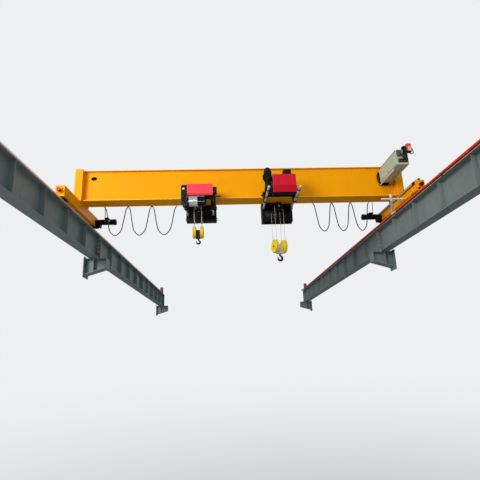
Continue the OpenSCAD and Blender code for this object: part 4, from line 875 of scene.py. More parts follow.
def make_signal():
    """The warning signal: a horn on the cabinet's top edge, a red lamp over a pale lens, and their cables."""
    x, y, z = 3.695, -1.05, 1.02
    horn, head, lens = shapes(3)
    horn.block((x, y, z), (x + 0.11, y + 0.07, z + 0.008))
    horn.block((x + 0.02, y + 0.03, z + 0.006), (x + 0.09, y + 0.07, z + 0.12))
    horn.lathe("y", (x + 0.055, z + 0.064), [
        (0.05, y), (0.054, y), (0.055, y + 0.006), (0.046, y + 0.018), (0.032, y + 0.032), (0.03, y + 0.07),
        (0, y + 0.07), (0, y + 0.03), (0.014, y + 0.03), (0.03, y + 0.02), (0.046, y + 0.008), (0.05, y)], 40)
    horn.block((x + 0.11, y + 0.01, z + 0.01), (x + 0.116, y + 0.06, z + 0.11))
    for u in (0.012, 0.098):
        horn.bolt((x + u, y + 0.012, z + 0.008), UP, 0.01)
    low, mid, top = z - 0.025, z + 0.105, z + 0.185
    cx, cy = x + 0.174, y + 0.035
    horn.prism("z", low, low + 0.012, moved(rounded(0.12, 0.09, 0.02), cx, cy))
    gland(horn, (cx + 0.03, cy, low + 0.0005), DOWN, 0.012)
    horn.done("signal_horn", "bridge", "black", "bracket_paint", edge=0.001)
    head.prism("z", mid, top - 0.006, moved(rounded(0.114, 0.084, 0.02), cx, cy))
    head.prism("z", top - 0.007, top, moved(rounded(0.1, 0.07, 0.02), cx, cy))
    for k in range(6):
        a = mid + 0.002 + k * 0.012
        head.prism("z", a, a + 0.005, moved(rounded(0.12, 0.09, 0.022), cx, cy))
    head.block((cx - 0.0605, cy - 0.0455, low + 0.01), (cx - 0.03, cy + 0.03, mid))
    head.done("signal_lamp", "bridge", "signal", "signal_plastic", "warning_signal", edge=0.002)
    lens.prism("z", low + 0.011, mid + 0.001, moved(rounded(0.114, 0.084, 0.02), cx, cy))
    for k in range(9):
        a = low + 0.016 + k * 0.012
        lens.prism("z", a, a + 0.004, moved(rounded(0.119, 0.089, 0.022), cx, cy))
    lens.done("signal_lens", "bridge", "pale", "signal_plastic", edge=0.001)
    strip_z, front = 0.795, -1.085
    for k, (u, v) in enumerate(((3.672, 3.705), (3.7, 3.725), (3.735, 3.75), (3.76, 3.785))):
        add_cord(f"signal_lead_{k + 1}", [
            (u, -1.0723, strip_z - 0.04), (u, front, strip_z), (u + 0.004, front - 0.006, 0.88),
            (v, front, 0.97), (v, -1.07, 1.03), (v + 0.003, -1.045, 1.05)], 0.022, "bridge", step=0.02)
    add_cord("signal_lead_5", [(3.6, -1.075, 0.92), (3.62, -1.1, 0.885), (3.66, -1.105, 0.9),
                               (3.69, -1.1, 0.98), (3.73, -1.08, 1.02)], 0.018, "bridge", sides=8, step=0.02)
    add_cord("lamp_cable", [(3.925, -1.0, 1.13), (3.955, -1.0, 1.11), (3.975, -1.005, 1.04),
                            (3.965, -1.02, 0.97), (3.92, -1.04, 0.94), (3.86, -1.05, 0.955),
                            (3.81, -1.06, 0.99), (3.79, -1.055, 1.03)], 0.018, "bridge", sides=8, step=0.015)


def make_festoon_fittings():
    """Rollers and clamps of the cable carriers, and the bolts of the track's brackets."""
    track_z, saddle_z = 0.56, 0.5
    for name, x in CARRIERS.items():
        name = "carrier_" + name
        s = Shape()
        for dx in (-0.017, 0.017):
            for side in (-1, 1):
                y = FESTOON_Y + side * 0.0115
                s.rod("y", y - 0.0035, y + 0.0035, (x + dx, track_z + 0.0123 + 0.0025), 0.018, 20, 0.0008)
        s.prism("x", x - 0.018, x + 0.018, [
            (FESTOON_Y + u, saddle_z - 0.012 + v) for u, v in ((-0.012, 0), (0.012, 0), (0.012, -0.006),
                                                               (-0.012, -0.006))])
        for dx in (-0.01, 0.01):
            s.bolt((x + dx, FESTOON_Y - 0.004, saddle_z + 0.02), FRONT, 0.008, washer=False)
        s.done(name + "_rollers", name, "steel", "wheel_steel")
    bolts = Shape()
    for k in range(5):
        x = -3.6 + 1.8 * k
        for y in (0.16, 0.44):
            bolts.bolt((x, y, track_z + 0.07), UP, 0.014)
        bolts.bolt((x, FESTOON_Y, track_z + 0.07), UP, 0.012)
    for x, way in ((-3.72, -1), (3.72, 1)):
        bolts.block((x, FESTOON_Y - 0.02, track_z), (x + way * 0.004, FESTOON_Y + 0.02, track_z + 0.04))
    bolts.done("festoon_bolts", "bridge", "zinc", "galvanised_steel")


def make_collector():
    """The collector's arm, post, towing strut, and the shoe with its springs beside the conductor bar."""
    truck, y, low, post = TRUCK_IN, -0.5, 0.04, 3.56
    bar, shoe_y, shoe_z = 3.812, -0.1, -0.149
    pale, dark, shine = shapes(3)
    pale.block((truck - 0.59, y - 0.02, low), (truck, y + 0.02, low + 0.005))
    pale.block((truck - 0.59, y - 0.02, low), (truck, y - 0.015, low + 0.04))
    pale.block((truck - 0.012, y - 0.02, low), (truck, y + 0.02, low + 0.04))
    for x in (truck - 0.5, truck - 0.2):
        pale.block((x, y - 0.02, low), (x + 0.005, y + 0.02, low + 0.035))
    pale.lathe("z", (post, y), [
        (0, 0.01), (0.02, 0.01), (0.023, 0.014), (0.023, 0.1), (0.029, 0.106), (0.031, 0.114), (0.031, 0.15),
        (0.027, 0.16), (0.027, 0.176), (0.019, 0.188), (0.008, 0.19), (0, 0.19)], 32)
    a, b = Vector((post, y, low + 0.02)), Vector((bar - 0.012 - 0.005 - 0.02, shoe_y, shoe_z + 0.025))
    run = b - a
    knots = ((0, 0.018), (0.04, 0.018), (0.045, 0.032), (0.2, 0.033), (0.205, 0.03), (0.4, 0.031),
             (0.405, 0.028), (0.6, 0.029), (0.66, 0.022), (0.665, 0.014), (0.7, 0.014), (0.705, 0.023),
             (0.86, 0.023), (0.865, 0.016), (1, 0.016))
    pale.tube([a + run * q for q, r in knots], [r for q, r in knots], 24)
    left = bar - 0.057
    pale.block((left + 0.014, shoe_y - 0.08, shoe_z + 0.012), (left + 0.03, shoe_y + 0.08, shoe_z + 0.038))
    pale.block((left, shoe_y - 0.02, shoe_z), (left + 0.034, shoe_y + 0.02, shoe_z + 0.05))
    for dy in (-0.08, 0.045):
        pale.block((left + 0.004, shoe_y + dy, shoe_z + 0.002), (left + 0.04, shoe_y + dy + 0.035,
                                                                 shoe_z + 0.048))
    pale.done("collector_frame", "bridge", "sleeve", "galvanised_steel", "collector", edge=0.001)
    mark = a + run * 0.68
    dark.tube([mark - run * 0.014, mark + run * 0.014], 0.0165, 20)
    dark.rod("z", low + 0.038, low + 0.05, (post, y), 0.05, 24, 0.002)
    dark.done("collector_rings", "bridge", "stop", "conductor_cover")
    for x in (truck - 0.55, truck - 0.04):
        shine.bolt((x, y, low + 0.005), UP, 0.016)
    for z in (0.075, 0.168):
        shine.bolt((post, y - 0.023, z), FRONT, 0.012)
    for dy in (-0.06, 0.05):
        n = 48
        shine.tube([(left + 0.032 + 0.005 * math.cos(k * 0.8), shoe_y + dy * (0.35 + 0.6 * k / n),
                     shoe_z + 0.044 + 0.005 * math.sin(k * 0.8)) for k in range(n)], 0.0012, 6, (0, 0, 1))
    shine.done("collector_springs", "bridge", "steel", "wheel_steel")


make_girder()
make_trucks()
make_buffers()
make_travel_drives()
make_cabinet()
make_signal()
make_festoon_fittings()
make_collector()


# Hoists. Shapes start at a hoist's centre along the span and at the girder's underside.

LEFT, RIGHT, UNDER = -1.05, 0.93, 0.3
PLATE_IN, PLATE_OUT, BAR_OUT = 0.2055, 0.2205, 0.2455
OFF_BAR = BAR_OUT + 0.0003
WHEEL_X, WHEEL_Z = 0.29, 0.0753
ROPE_R = 0.0053


def shrunk(outline, by):
    """A convex outline with each point moved towards its middle."""
    cu = sum(u for u, v in outline) / len(outline)
    cv = sum(v for u, v in outline) / len(outline)
    out = []
    for u, v in outline:
        d = math.hypot(u - cu, v - cv)
        out.append((u + (cu - u) * by / d, v + (cv - v) * by / d))
    return out


def along(outline, step):
    """Points about step apart along a closed outline."""
    out = []
    for (u, v), (p, q) in zip(outline, outline[1:] + outline[:1]):
        n = max(1, round(math.hypot(p - u, q - v) / step))
        out += [(u + (p - u) * k / n, v + (q - v) * k / n) for k in range(n)]
    return out


def side_plates(plates, nuts, ends, bars, bar_z):
    low, high, cut, leg = 0.005, 0.155, 0.035, 0.045
    outline = [(ends[0], low)]
    for x in bars:
        outline += [(x - leg, low)] + bow((x, bar_z), -leg, 0, 180, 15) + [(x + leg, low)]
    outline += [(ends[1], low), (ends[1], high - cut), (ends[1] - cut, high), (ends[0] + cut, high),
                (ends[0], high - cut)]
    for side in (-1, 1):
        y0, y1 = sorted((side * PLATE_IN, side * PLATE_OUT))
        plates.prism("y", y0, y1, outline)
        for x in (-WHEEL_X, WHEEL_X):
            plates.lathe("y", (x, WHEEL_Z), [
                (0, side * PLATE_OUT), (0.033, side * PLATE_OUT), (0.033, side * (PLATE_OUT + 0.004)),
                (0, side * (PLATE_OUT + 0.004))], 28)
            nuts.bolt((x, side * (PLATE_OUT + 0.004), WHEEL_Z), (0, side, 0), 0.034, 0.4)
            for dx in (-0.055, 0.055):
                nuts.bolt((x + dx, side * PLATE_OUT, 0.115), (0, side, 0), 0.012)
        for x in (-0.1, 0.0, 0.1):
            nuts.bolt((x, side * PLATE_OUT, 0.03), (0, side, 0), 0.014)


def tie_bars(steel, dark, bars, bar_z, y0, y1):
    for x in bars:
        steel.lathe("y", (x, bar_z), [
            (0, y0), (0.021, y0), (0.025, y0 + 0.004), (0.025, y1 - 0.004), (0.021, y1), (0, y1)], 36)
        for side in (-1, 1):
            a, b = side * PLATE_OUT, side * (PLATE_OUT + 0.02)
            dark.lathe("y", (x, bar_z), [
                (0.024, a), (0.038, a), (0.038, b - side * 0.003), (0.034, b), (0.024, b)], 6)
            dark.lathe("y", (x, bar_z), [
                (0.024, side * (PLATE_IN - 0.016)), (0.036, side * (PLATE_IN - 0.016)),
                (0.036, side * PLATE_IN), (0.024, side * PLATE_IN)], 6)


def wheels(shape):
    """Trolley wheels with a treaded rim, a dished web, hub cap and stub axle."""
    outer = 0.1945
    for x in (-WHEEL_X, WHEEL_X):
        for side in (-1, 1):
            profile = [(0, outer + 0.004), (0.012, outer + 0.004), (0.02, outer), (0.032, outer),
                       (0.032, outer - 0.006), (0.044, outer - 0.006), (0.047, outer), (0.057, outer),
                       (0.06, outer - 0.004), (0.06, outer - 0.038), (0.057, outer - 0.042),
                       (0, outer - 0.042)]
            shape.lathe("y", (x, WHEEL_Z), [(r, side * a) for r, a in profile], 44)
            shape.lathe("y", (x, WHEEL_Z), [
                (0, side * outer), (0.02, side * outer), (0.02, side * (PLATE_IN - 0.0003)),
                (0, side * (PLATE_IN - 0.0003))], 24)


def trolley_done(side, plates, bars, collars, rollers):
    """Makes the pieces that both trolleys have."""
    body = f"trolley_{side}"
    plates.done(f"{body}_plates", body, "black", "trolley_paint", f"{body}_frame", edge=0.0015)
    bars.done(f"{body}_bars", body, "bright", "wheel_steel")
    collars.done(f"{body}_collars", body, "cast", "trolley_paint", edge=0.001)
    rollers.done(f"{body}_rollers", body, "steel", "wheel_steel", f"{body}_wheels")


def equalizer(steel, dark, nuts, r, x0, x1, rise):
    """The sheave that joins two falls, its pin, cheeks and straps, at the sheave's own place."""
    root = r - ROPE_R
    half = [(0, 0.0115), (0.03, 0.0115), (0.03, 0.005), (root - 0.014, 0.005), (root - 0.008, 0.01),
            (root + 0.009, 0.01), (root, 0.003)]
    steel.lathe("y", (0, 0), [(u, -a) for u, a in half] + [(u, a) for u, a in reversed(half)], 52)
    dark.lathe("y", (0, 0), [(0, -0.024), (0.013, -0.024), (0.015, -0.022), (0.015, 0.022), (0.013, 0.024),
                             (0, 0.024)], 24)
    for y in (-0.020, 0.012):
        dark.block((x0, y, rise - 0.025), (x1, y + 0.008, rise + 0.025))
        top, low = max(rise + 0.025, 0.028), min(rise - 0.025, -0.028)
        dark.prism("y", y, y + 0.008, [
            (-0.045, low + 0.012), (-0.033, low), (0.033, low), (0.045, low + 0.012), (0.045, top - 0.012),
            (0.033, top), (-0.033, top), (-0.045, top - 0.012)])
    for side in (-1, 1):
        nuts.bolt((0, side * 0.024, 0), (0, side, 0), 0.02, 0.4)
        for x in (x0 + 0.03, x1 - 0.03):
            nuts.bolt((x, side * 0.02, rise), (0, side, 0), 0.016)


def wire(shape, path, radius=0.005, lay=0.075):
    """A laid wire rope along points: its section's strands turn as it goes."""
    fine = []
    for a, b in zip(path, path[1:]):
        a, b = Vector(a), Vector(b)
        n = max(1, round((b - a).length / 0.005))
        fine += [a + (b - a) * k / n for k in range(n)]
    fine.append(Vector(path[-1]))
    shape.tube(fine, radius, 12, (0, 1, 0) if abs((fine[-1] - fine[0]).normalized().y) < 0.9 else (1, 0, 0),
               2 * math.pi * 0.005 / lay, 0.2)


def arc(r, a0, a1, n, plane="xz", centre=(0, 0, 0)):
    out = []
    for k in range(n + 1):
        t = math.radians(a0 + (a1 - a0) * k / n)
        u, v = r * math.cos(t), r * math.sin(t)
        out.append(Vector(centre) + Vector((u, 0, v) if plane == "xz" else (0, u, v)))
    return out


def helix(x0, x1, turns, r, per_turn=28):
    """Points round the X axis, for rope wound on a drum."""
    n = int(turns * per_turn)
    out = []
    for k in range(n + 1):
        t = 2 * math.pi * k / per_turn
        out.append((x0 + (x1 - x0) * k / n, r * math.cos(t), r * math.sin(t)))
    return out


def drum(name, body, node, place, l, r, wound, rope):
    """A grooved rope drum with its end flanges, and the rope wound on its first part."""
    s = Shape()
    s.place = place
    pitch = 0.0115
    profile = [(0, -0.03), (0.028, -0.03), (0.03, -0.028), (0.03, 0), (0.05, 0), (0.05, 0.003),
               (r - 0.02, 0.003), (r - 0.02, 0), (r - 0.002, 0), (r, 0.002), (r, 0.009), (r - 0.002, 0.011),
               (r - 0.011, 0.012)]
    n = int((l - 0.03) / pitch)
    for k in range(n):
        a = 0.014 + k * pitch
        profile += [(r - 0.0115, a + 0.003), (r - 0.0115, a + 0.0085), (r - 0.008, a + pitch)]
    tail = [(r - 0.011, l - 0.012), (r - 0.002, l - 0.011), (r, l - 0.009), (r, l - 0.002), (r - 0.002, l),
            (r - 0.02, l), (r - 0.02, l - 0.003), (0.05, l - 0.003), (0.05, l), (0.03, l), (0.03, l + 0.028),
            (0.028, l + 0.03), (0, l + 0.03)]
    s.mat = 1
    s.lathe("x", (0, 0), profile + tail, 72)
    s.mat = 0
    wound_from, rope_pitch = 0.0175, 0.0112
    s.tube(helix(wound_from, wound_from + wound, wound / rope_pitch, r - 0.0058), ROPE_R, 8, (1, 0, 0))
    s.mat = 1
    for u, v in ring_of(6, r - 0.012, 0.3):
        s.block((l - 0.03, u - 0.008, v - 0.008), (l - 0.013, u + 0.008, v + 0.008))
    s.done(name, body, f"{rope} drum", "drum_steel", node)


def guard(shape, nuts, x, w, r, fall_r):
    """A sheave guard: two dished discs and the band between them, open at the top for the ropes."""
    half = 0.017
    for way in (-1, 1):
        a, b = x + way * half, x + way * w / 2
        profile = [(0.026, a), (r - 0.004, a), (r, a + way * 0.002), (r, b - way * 0.008), (r - 0.008, b),
                   (r * 0.84, b), (r * 0.79, b - way * 0.007), (r * 0.44, b - way * 0.007), (r * 0.39, b),
                   (0.026, b)]
        shape.lathe("x", (0, 0), profile, 72)
        for u, v in ring_of(6, r * 0.88, 0.5):
            nuts.screw((b, u, v), (way, 0, 0), 0.013)
    open_at = math.asin((fall_r + 0.01) / r)
    points, faces, n = [], [], 56
    for k in range(n + 1):
        t = math.pi / 2 + open_at + (2 * math.pi - 2 * open_at) * k / n
        for rr in (r - 0.022, r - 0.0035):
            for dx in (-half, half):
                points.append((x + dx, rr * math.cos(t), rr * math.sin(t)))
    for k in range(n):
        p, q = 4 * k, 4 * k + 4
        faces += [(p, p + 1, q + 1, q), (p + 2, q + 2, q + 3, p + 3), (p, q, q + 2, p + 2),
                  (p + 1, p + 3, q + 3, q + 1)]
    faces += [(0, 2, 3, 1), (4 * n, 4 * n + 1, 4 * n + 3, 4 * n + 2)]
    shape.add(points, faces)


def block_of(side, place, x, w, r, fall_r, head, white):
    """A bottom block: guards, sheaves with the rope round them, pin, cross head and hook nut."""
    shell, nuts, iron, rope = shapes(4)
    put(place, shell, nuts, iron, rope)
    root = fall_r - ROPE_R
    half = [(0, 0.013), (0.042, 0.013), (0.042, 0.006), (root - 0.016, 0.006), (root - 0.008, 0.0125),
            (root + 0.012, 0.0125), (root, 0.003)]
    body = f"block_{side}"
    for c in (-x, x):
        guard(shell, nuts, c, w, r, fall_r)
        iron.lathe("x", (0, 0), [(u, c - a) for u, a in half] + [(u, c + a) for u, a in reversed(half)], 60)
        path = arc(fall_r, 180, 360, 44, "yz", (c, 0, 0))
        wire(rope, path)
    end = x + w / 2 + 0.006
    iron.lathe("x", (0, 0), [(0, -end), (0.022, -end), (0.025, -end + 0.003), (0.025, end - 0.003),
                             (0.022, end), (0, end)], 36)
    for way in (-1, 1):
        face = x + w / 2
        nuts.block((way * face, -0.036, -0.013), (way * (face + 0.005), -0.02, 0.013))
        for z in (0.006, -0.006):
            nuts.screw((way * (face + 0.005), -0.028, z), (way, 0, 0), 0.009)
    h = x - w / 2 - 0.0005
    outline = [(-0.045, head + 0.035), (-0.033, head), (0.033, head), (0.045, head + 0.035), (0.045, -0.02),
               (0.036, 0.045), (0.02, 0.06), (-0.02, 0.06), (-0.036, 0.045), (-0.045, -0.02)]
    iron.mat = 1 if white else 0
    iron.prism("x", -h, h, outline)
    for y in (-0.0455, 0.0455):
        iron.rod("y", *sorted((y, y * 0.9)), (0, (head + 0.03) / 2), 0.05, 28, 0.001)
    iron.mat = 0
    iron.lathe("z", (0, 0), [(0.0215, head - 0.004), (0.034, head - 0.004), (0.036, head + 0.002),
                             (0.0215, head + 0.002)], 36)
    shell.done(f"block_{side}_shells", body, "guard", "guard_paint", f"block_{side}_guards", edge=0.0012)
    iron.done(f"block_{side}_works", body, "sheave head", "sheave_steel", f"block_{side}_sheaves", edge=0.001)
    nuts.done(f"block_{side}_nuts", body, "zinc", "galvanised_steel")
    rope.done(f"block_{side}_rope", body, "rope", "rope_steel")


def hook_of(side, place, head, r, t):
    """A forged hook swept along its arc, with its shank, collar and spring latch."""
    s = Shape()
    s.place = place
    shank = head - 0.025
    centre = shank - t / 2 - r
    path = [Vector((0, 0, z)) for z in (shank + t / 2, shank + t * 0.1, shank - t / 8)]
    radii = [0.38 * t] * 3
    for k in range(57):
        q = k / 56
        a = math.radians(100 + 275 * q)
        path.append(Vector((-r * math.cos(a), 0, centre + r * math.sin(a))))
        radii.append(t / 2 * (0.75 + 0.35 * math.sin(math.pi * q) - 0.35 * q ** 3))
    for share, size in ((0.35, 0.185), (0.65, 0.16), (0.88, 0.12), (1.0, 0.05)):
        path.append(path[59] + Vector((-0.12 * r, 0, 0.4 * r)) * share)
        radii.append(size * t)
    s.tube(path, radii, 28)
    s.lathe("z", (0, 0), [(0, head + 0.055), (0.0205, head + 0.055), (0.0205, shank - 0.001),
                          (0.0185, shank - 0.004), (0, shank - 0.004)], 32)
    s.lathe("z", (0, 0), [(0.02, head - 0.006), (0.0235, head - 0.008), (0.0235, shank + 0.002),
                          (0.02, shank)], 32)
    s.done(f"hook_{side}_forging", f"hook_{side}", "hook", "hook_iron", f"hook_{side}")
    latch = Shape()
    latch.place = place
    top, tip = Vector((-0.3 * t, 0, shank - 0.35 * t)), path[-3] + Vector((0.3 * t, 0, -0.05 * t))
    run = tip - top
    off = Vector((run.z, 0, -run.x)).normalized() * 0.0012
    corners = [top + off, tip + off, tip - off, top - off]
    latch.prism("y", -0.2 * t, 0.2 * t, [(p.x, p.z) for p in corners])
    for side_y in (-1, 1):
        y0, y1 = sorted((side_y * 0.2 * t, side_y * 0.25 * t))
        lug = [top + off * 5, top + run * 0.35 + off * 4, top + run * 0.4 - off, top - off * 2]
        latch.prism("y", y0, y1, [(p.x, p.z) for p in lug])
    latch.rod("y", -0.33 * t, 0.33 * t, (top.x, top.z), 0.007, 16, 0.0008)
    latch.done(f"hook_{side}_latch", f"hook_{side}", "zinc", "galvanised_steel")


def saddle(shape, x, y, z):
    """The half round saddle and clamp that hold the festoon cable's end."""
    shape.prism("y", y - 0.012, y + 0.012, bow((x, z), 0.03, 0, 180, 12))


def tow_arm(shape, nuts, x, tow, foot):
    """The arm from a trolley's rear unit to the festoon cable's end, in the hoist's own heights."""
    y0, y1, low = 0.485, 0.515, 0.175
    way = 1 if x < tow else -1
    a, b = sorted((x, x + way * 0.03))
    shape.block((a, y0, foot), (b, y1, low + 0.03))
    a, b = sorted((x, tow))
    shape.block((a, y0, low), (b, y1, low + 0.03))
    shape.block((tow - 0.015, y0, low), (tow + 0.015, FESTOON_Y, low + 0.015))
    saddle(shape, tow, FESTOON_Y, 0.17)
    brace = [(x + way * 0.03, low), (x + way * 0.1, low), (x + way * 0.03, low - 0.07)]
    shape.prism("y", 0.495, 0.505, brace)
    nuts.bolt((tow, 0.5, low + 0.03), UP, 0.016)
    for k in range(3):
        nuts.bolt((x + way * (0.12 + 0.15 * k), y0, low + 0.015), FRONT, 0.012)


def make_left_hoist():
    place = at(LEFT, 0, UNDER)
    sheave_x, sheave_y, sheave_z, fall = -0.035, -0.0947, -0.2, 0.088
    tangent, low_z, head = -0.2947, -0.875, -0.15
    bars, bar_z = (-0.321, 0.32), -0.27

    plates, steel, dark, nuts, rope, wheel = shapes(6, place)
    side_plates(plates, nuts, (-0.405, 0.4), bars, bar_z)
    tie_bars(steel, dark, bars, bar_z, -BAR_OUT, BAR_OUT)
    wheels(wheel)
    dark.lathe("x", (-0.213, 0.045), [
        (0, 0.399), (0.014, 0.399), (0.014, 0.445), (0.017, 0.447), (0.017, 0.516), (0.012, 0.523),
        (0, 0.523)], 28)
    socket_x = sheave_x + fall
    dark.prism("y", tangent - 0.013, tangent + 0.013, [
        (socket_x - 0.015, -0.062), (socket_x - 0.011, -0.11), (socket_x + 0.011, -0.11),
        (socket_x + 0.015, -0.062), (socket_x + 0.013, -0.05), (socket_x - 0.013, -0.05)])
    dark.block((socket_x - 0.012, tangent, -0.078), (socket_x + 0.012, -PLATE_IN, -0.052))
    dark.block((socket_x - 0.015, -PLATE_OUT, -0.08), (socket_x + 0.015, -PLATE_IN, 0.006))
    nuts.bolt((socket_x, tangent - 0.013, -0.07), FRONT, 0.014)
    put(place @ at(sheave_x, sheave_y, sheave_z), steel, dark, nuts, rope)
    equalizer(steel, dark, nuts, fall, -0.286, 0.355, -0.07)
    wire(rope, arc(fall, 180, 0, 40))
    put(place, steel, dark, nuts, rope)
    trolley_done("left", plates, steel, dark, wheel)

    gear, = shapes(1, place)
    outline = [(-0.405, 0.175), (-0.385, 0.195), (-0.26, 0.195), (-0.26, -0.33), (-0.315, -0.33),
               (-0.405, -0.22)]
    gear.prism("y", -0.552, -OFF_BAR, shrunk(outline, 0.009))
    for y0, y1 in ((-0.556, -0.541), (-0.42, -0.396), (-0.262, -OFF_BAR)):
        gear.prism("y", y0, y1, outline)
    panel = shrunk(outline, 0.026)
    gear.prism("y", -0.56, -0.55, panel)
    for u, v in along(shrunk(outline, 0.013), 0.062):
        nuts.screw((u, -0.556, v), FRONT, 0.010)
    for z in (0.13, 0.06, -0.01, -0.08, -0.15):
        gear.block((-0.404, -0.54, z - 0.004), (-0.385, -0.264, z + 0.004))
    gear.lathe("y", (-0.335, -0.09), [
        (0, -0.564), (0.026, -0.564), (0.03, -0.561), (0.046, -0.561), (0.048, -0.558), (0.048, -0.55),
        (0, -0.55)], 36)
    gear.lathe("y", (-0.325, -0.24), [(0, -0.563), (0.012, -0.563), (0.012, -0.55), (0, -0.55)], 6)
    gear.mat = 1
    gear.lathe("y", (-0.345, 0.094), [
        (0.012, -0.563), (0.012, -0.568), (0.022, -0.568), (0.027, -0.564), (0.027, -0.558), (0, -0.558),
        (0, -0.563), (0.012, -0.563)], 28)
    gear.mat = 0
    gear.block((-0.262, -0.5547, -0.045), (-0.248, -0.25, 0.2095))
    gear.prism("x", -0.25, 0.34, [
        (-0.549, -0.019), (-0.536, -0.045), (-OFF_BAR, -0.045), (-OFF_BAR, 0.2), (-0.549, 0.2)])
    gear.prism("x", 0.328, 0.34, [
        (-0.5547, -0.019), (-0.541, -0.045), (-OFF_BAR, -0.045), (-OFF_BAR, 0.2097), (-0.5496, 0.2097),
        (-0.5547, 0.2046)])
    for k in range(5):
        gear.block((0.339, -0.40, 0.03 + k * 0.026), (0.3425, -0.29, 0.038 + k * 0.026))
    gear.prism("y", -0.52, -0.42, moved(rounded(0.095, 0.155, 0.012), 0.386, 0.0735))
    gear.prism("y", -0.525, -0.51, moved(rounded(0.089, 0.149, 0.012), 0.386, 0.0735))
    for u, v in corners(0.036, 0.066):
        nuts.screw((0.386 + u, -0.525, 0.0735 + v), FRONT, 0.007)
    for u in (0.36, 0.386, 0.412):
        gland(gear, (u, -0.47, -0.004), DOWN, 0.02)
    gear.mat = 1
    gear.lathe("y", (0.352, 0.015), [(0, -0.527), (0.008, -0.527), (0.008, -0.52), (0, -0.52)], 16)
    gear.mat = 0
    bearing = (-0.42, -0.175)
    gear.lathe("x", bearing, [(0.0301, 0.153), (0.06, 0.153), (0.065, 0.157), (0.065, 0.172), (0.06, 0.175),
                              (0.042, 0.175), (0.04, 0.182), (0, 0.182)], 40)
    gear.prism("x", 0.156, 0.174, [(-0.455, -0.19), (-0.385, -0.19), (-0.372, -0.044), (-0.468, -0.044)])
    for u, v in ring_of(6, 0.053):
        nuts.screw((0.175, bearing[0] + u, bearing[1] + v), (1, 0, 0), 0.010)
    centre = (-0.392, -0.178)
    motor(gear, 0.282, 0.368, 0.262, centre, 36)
    fan_cowl(gear, 0.362, 0.4, 0.262, centre)
    gear.block((0.29, -0.46, -0.06), (0.362, -0.32, -0.044))
    gear.block((0.285, -0.31, -0.3), (0.36, -OFF_BAR, -0.06))
    nuts.bolt((0.325, -0.5, -0.045), DOWN, 0.016)
    # Two thin rods of bright steel in front of the drum stand for light lines along the rope guide's edges:
    # painted highlights.
    gear.mat = 2
    for z, y in ((-0.1, -0.548), (-0.232, -0.548)):
        gear.rod("x", -0.262, 0.156, (y, z), 0.008, 16)
    gear.mat = 0
    gear.rod("x", -0.262, 0.156, (-0.5505, -0.172), 0.011, 16)
    for z in (-0.1, -0.172, -0.232):
        gear.block((0.15, -0.556, z - 0.01), (0.162, -0.45, z + 0.01))
    gear.done("hoist_left_machine", "trolley_left", "cast pale bright", "drive_paint", "hoist_left_drive",
              edge=0.0015)

    weight, arm = shapes(2, place)
    body = [(OFF_BAR, -0.4), (0.445, -0.4), (0.465, -0.38), (0.465, 0.02), (0.435, 0.05), (OFF_BAR, 0.05)]
    for k in range(7):
        weight.prism("x", -0.37 + k * 0.11, -0.37 + k * 0.11 + 0.106, body)
    weight.prism("x", -0.368, 0.398, shrunk(body, 0.008))
    for y in (0.30, 0.41):
        for z in (-0.33, -0.02):
            for x, way in ((-0.37, -1), (0.396, 1)):
                nuts.bolt((x, y, z), (way, 0, 0), 0.03)
    for x in (-0.2, 0.2):
        arm.tube([(x - 0.035, 0.36, 0.045), (x - 0.035, 0.36, 0.075), (x - 0.02, 0.36, 0.09),
                  (x + 0.02, 0.36, 0.09), (x + 0.035, 0.36, 0.075), (x + 0.035, 0.36, 0.045)], 0.007, 12)
    arm.block((-0.37, 0.43, 0.01), (-0.34, 0.515, 0.049))
    tow_arm(arm, nuts, -0.37, -0.65, 0.01)
    weight.done("hoist_left_slabs", "trolley_left", "cast", "trolley_paint", "hoist_left_counterweight",
                edge=0.0025)
    arm.done("hoist_left_tow_arm", "trolley_left", "black", "trolley_paint", edge=0.001)

    # Light red strips along the cover's edges are painted highlights; the screws on them take the same colour.
    trim, = shapes(1, place)
    for x in (-0.2597, 0.333):
        trim.prism("x", x, x + 0.006, [
            (-0.5615, -0.02), (-0.5615, 0.208), (-0.553, 0.2165), (-0.262, 0.2165), (-0.262, 0.2145),
            (-0.552, 0.2145), (-0.5595, 0.207), (-0.5595, -0.02)])
    trim.prism("x", -0.2597, 0.339, [
        (-0.5612, -0.0185), (-0.5612, -0.0225), (-0.559, -0.0225), (-0.559, -0.0185)])
    for x in (-0.235, 0.315):
        for z in (0.02, 0.1, 0.18):
            trim.bolt((x, -0.56, z), FRONT, 0.008, 0.3, False)
        for y in (-0.5, -0.4, -0.3):
            trim.bolt((x, y, 0.215), UP, 0.008, 0.3, False)
    trim.done("hoist_left_cover_edges", "trolley_left", "red_highlight", "cover_paint")
    nuts.done("hoist_left_fasteners", "trolley_left", "zinc", "galvanised_steel")
    rope.done("trolley_left_rope", "trolley_left", "rope", "rope_steel")

    # The left drum's wound rope is lightened as a painted highlight.
    drum("hoist_left_drum_grooved", "drum_left", "hoist_left_drum", place @ at(-0.245, -0.42, -0.175), 0.395,
         0.12, 0.205, "wound")
    low = place @ at(sheave_x, (sheave_y + tangent) / 2, low_z)
    block_of("left", low, fall, 0.076, 0.145, 0.1, head, False)
    hook_of("left", low, head, 0.042, 0.04)
    falls, = shapes(1, place)
    for dx, y, top in ((-fall, tangent, -0.175), (fall, tangent, -0.1103), (-fall, sheave_y, sheave_z),
                       (fall, sheave_y, sheave_z)):
        wire(falls, [(sheave_x + dx, y, low_z), (sheave_x + dx, y, top)])
    falls.done("hoist_left_falls", None, "rope", "rope_steel", "hoist_left_ropes",
               blend=("trolley_left", "block_left", frame_point(LEFT, 0, UNDER - 0.2),
                      frame_point(LEFT, 0, UNDER - 0.74)))


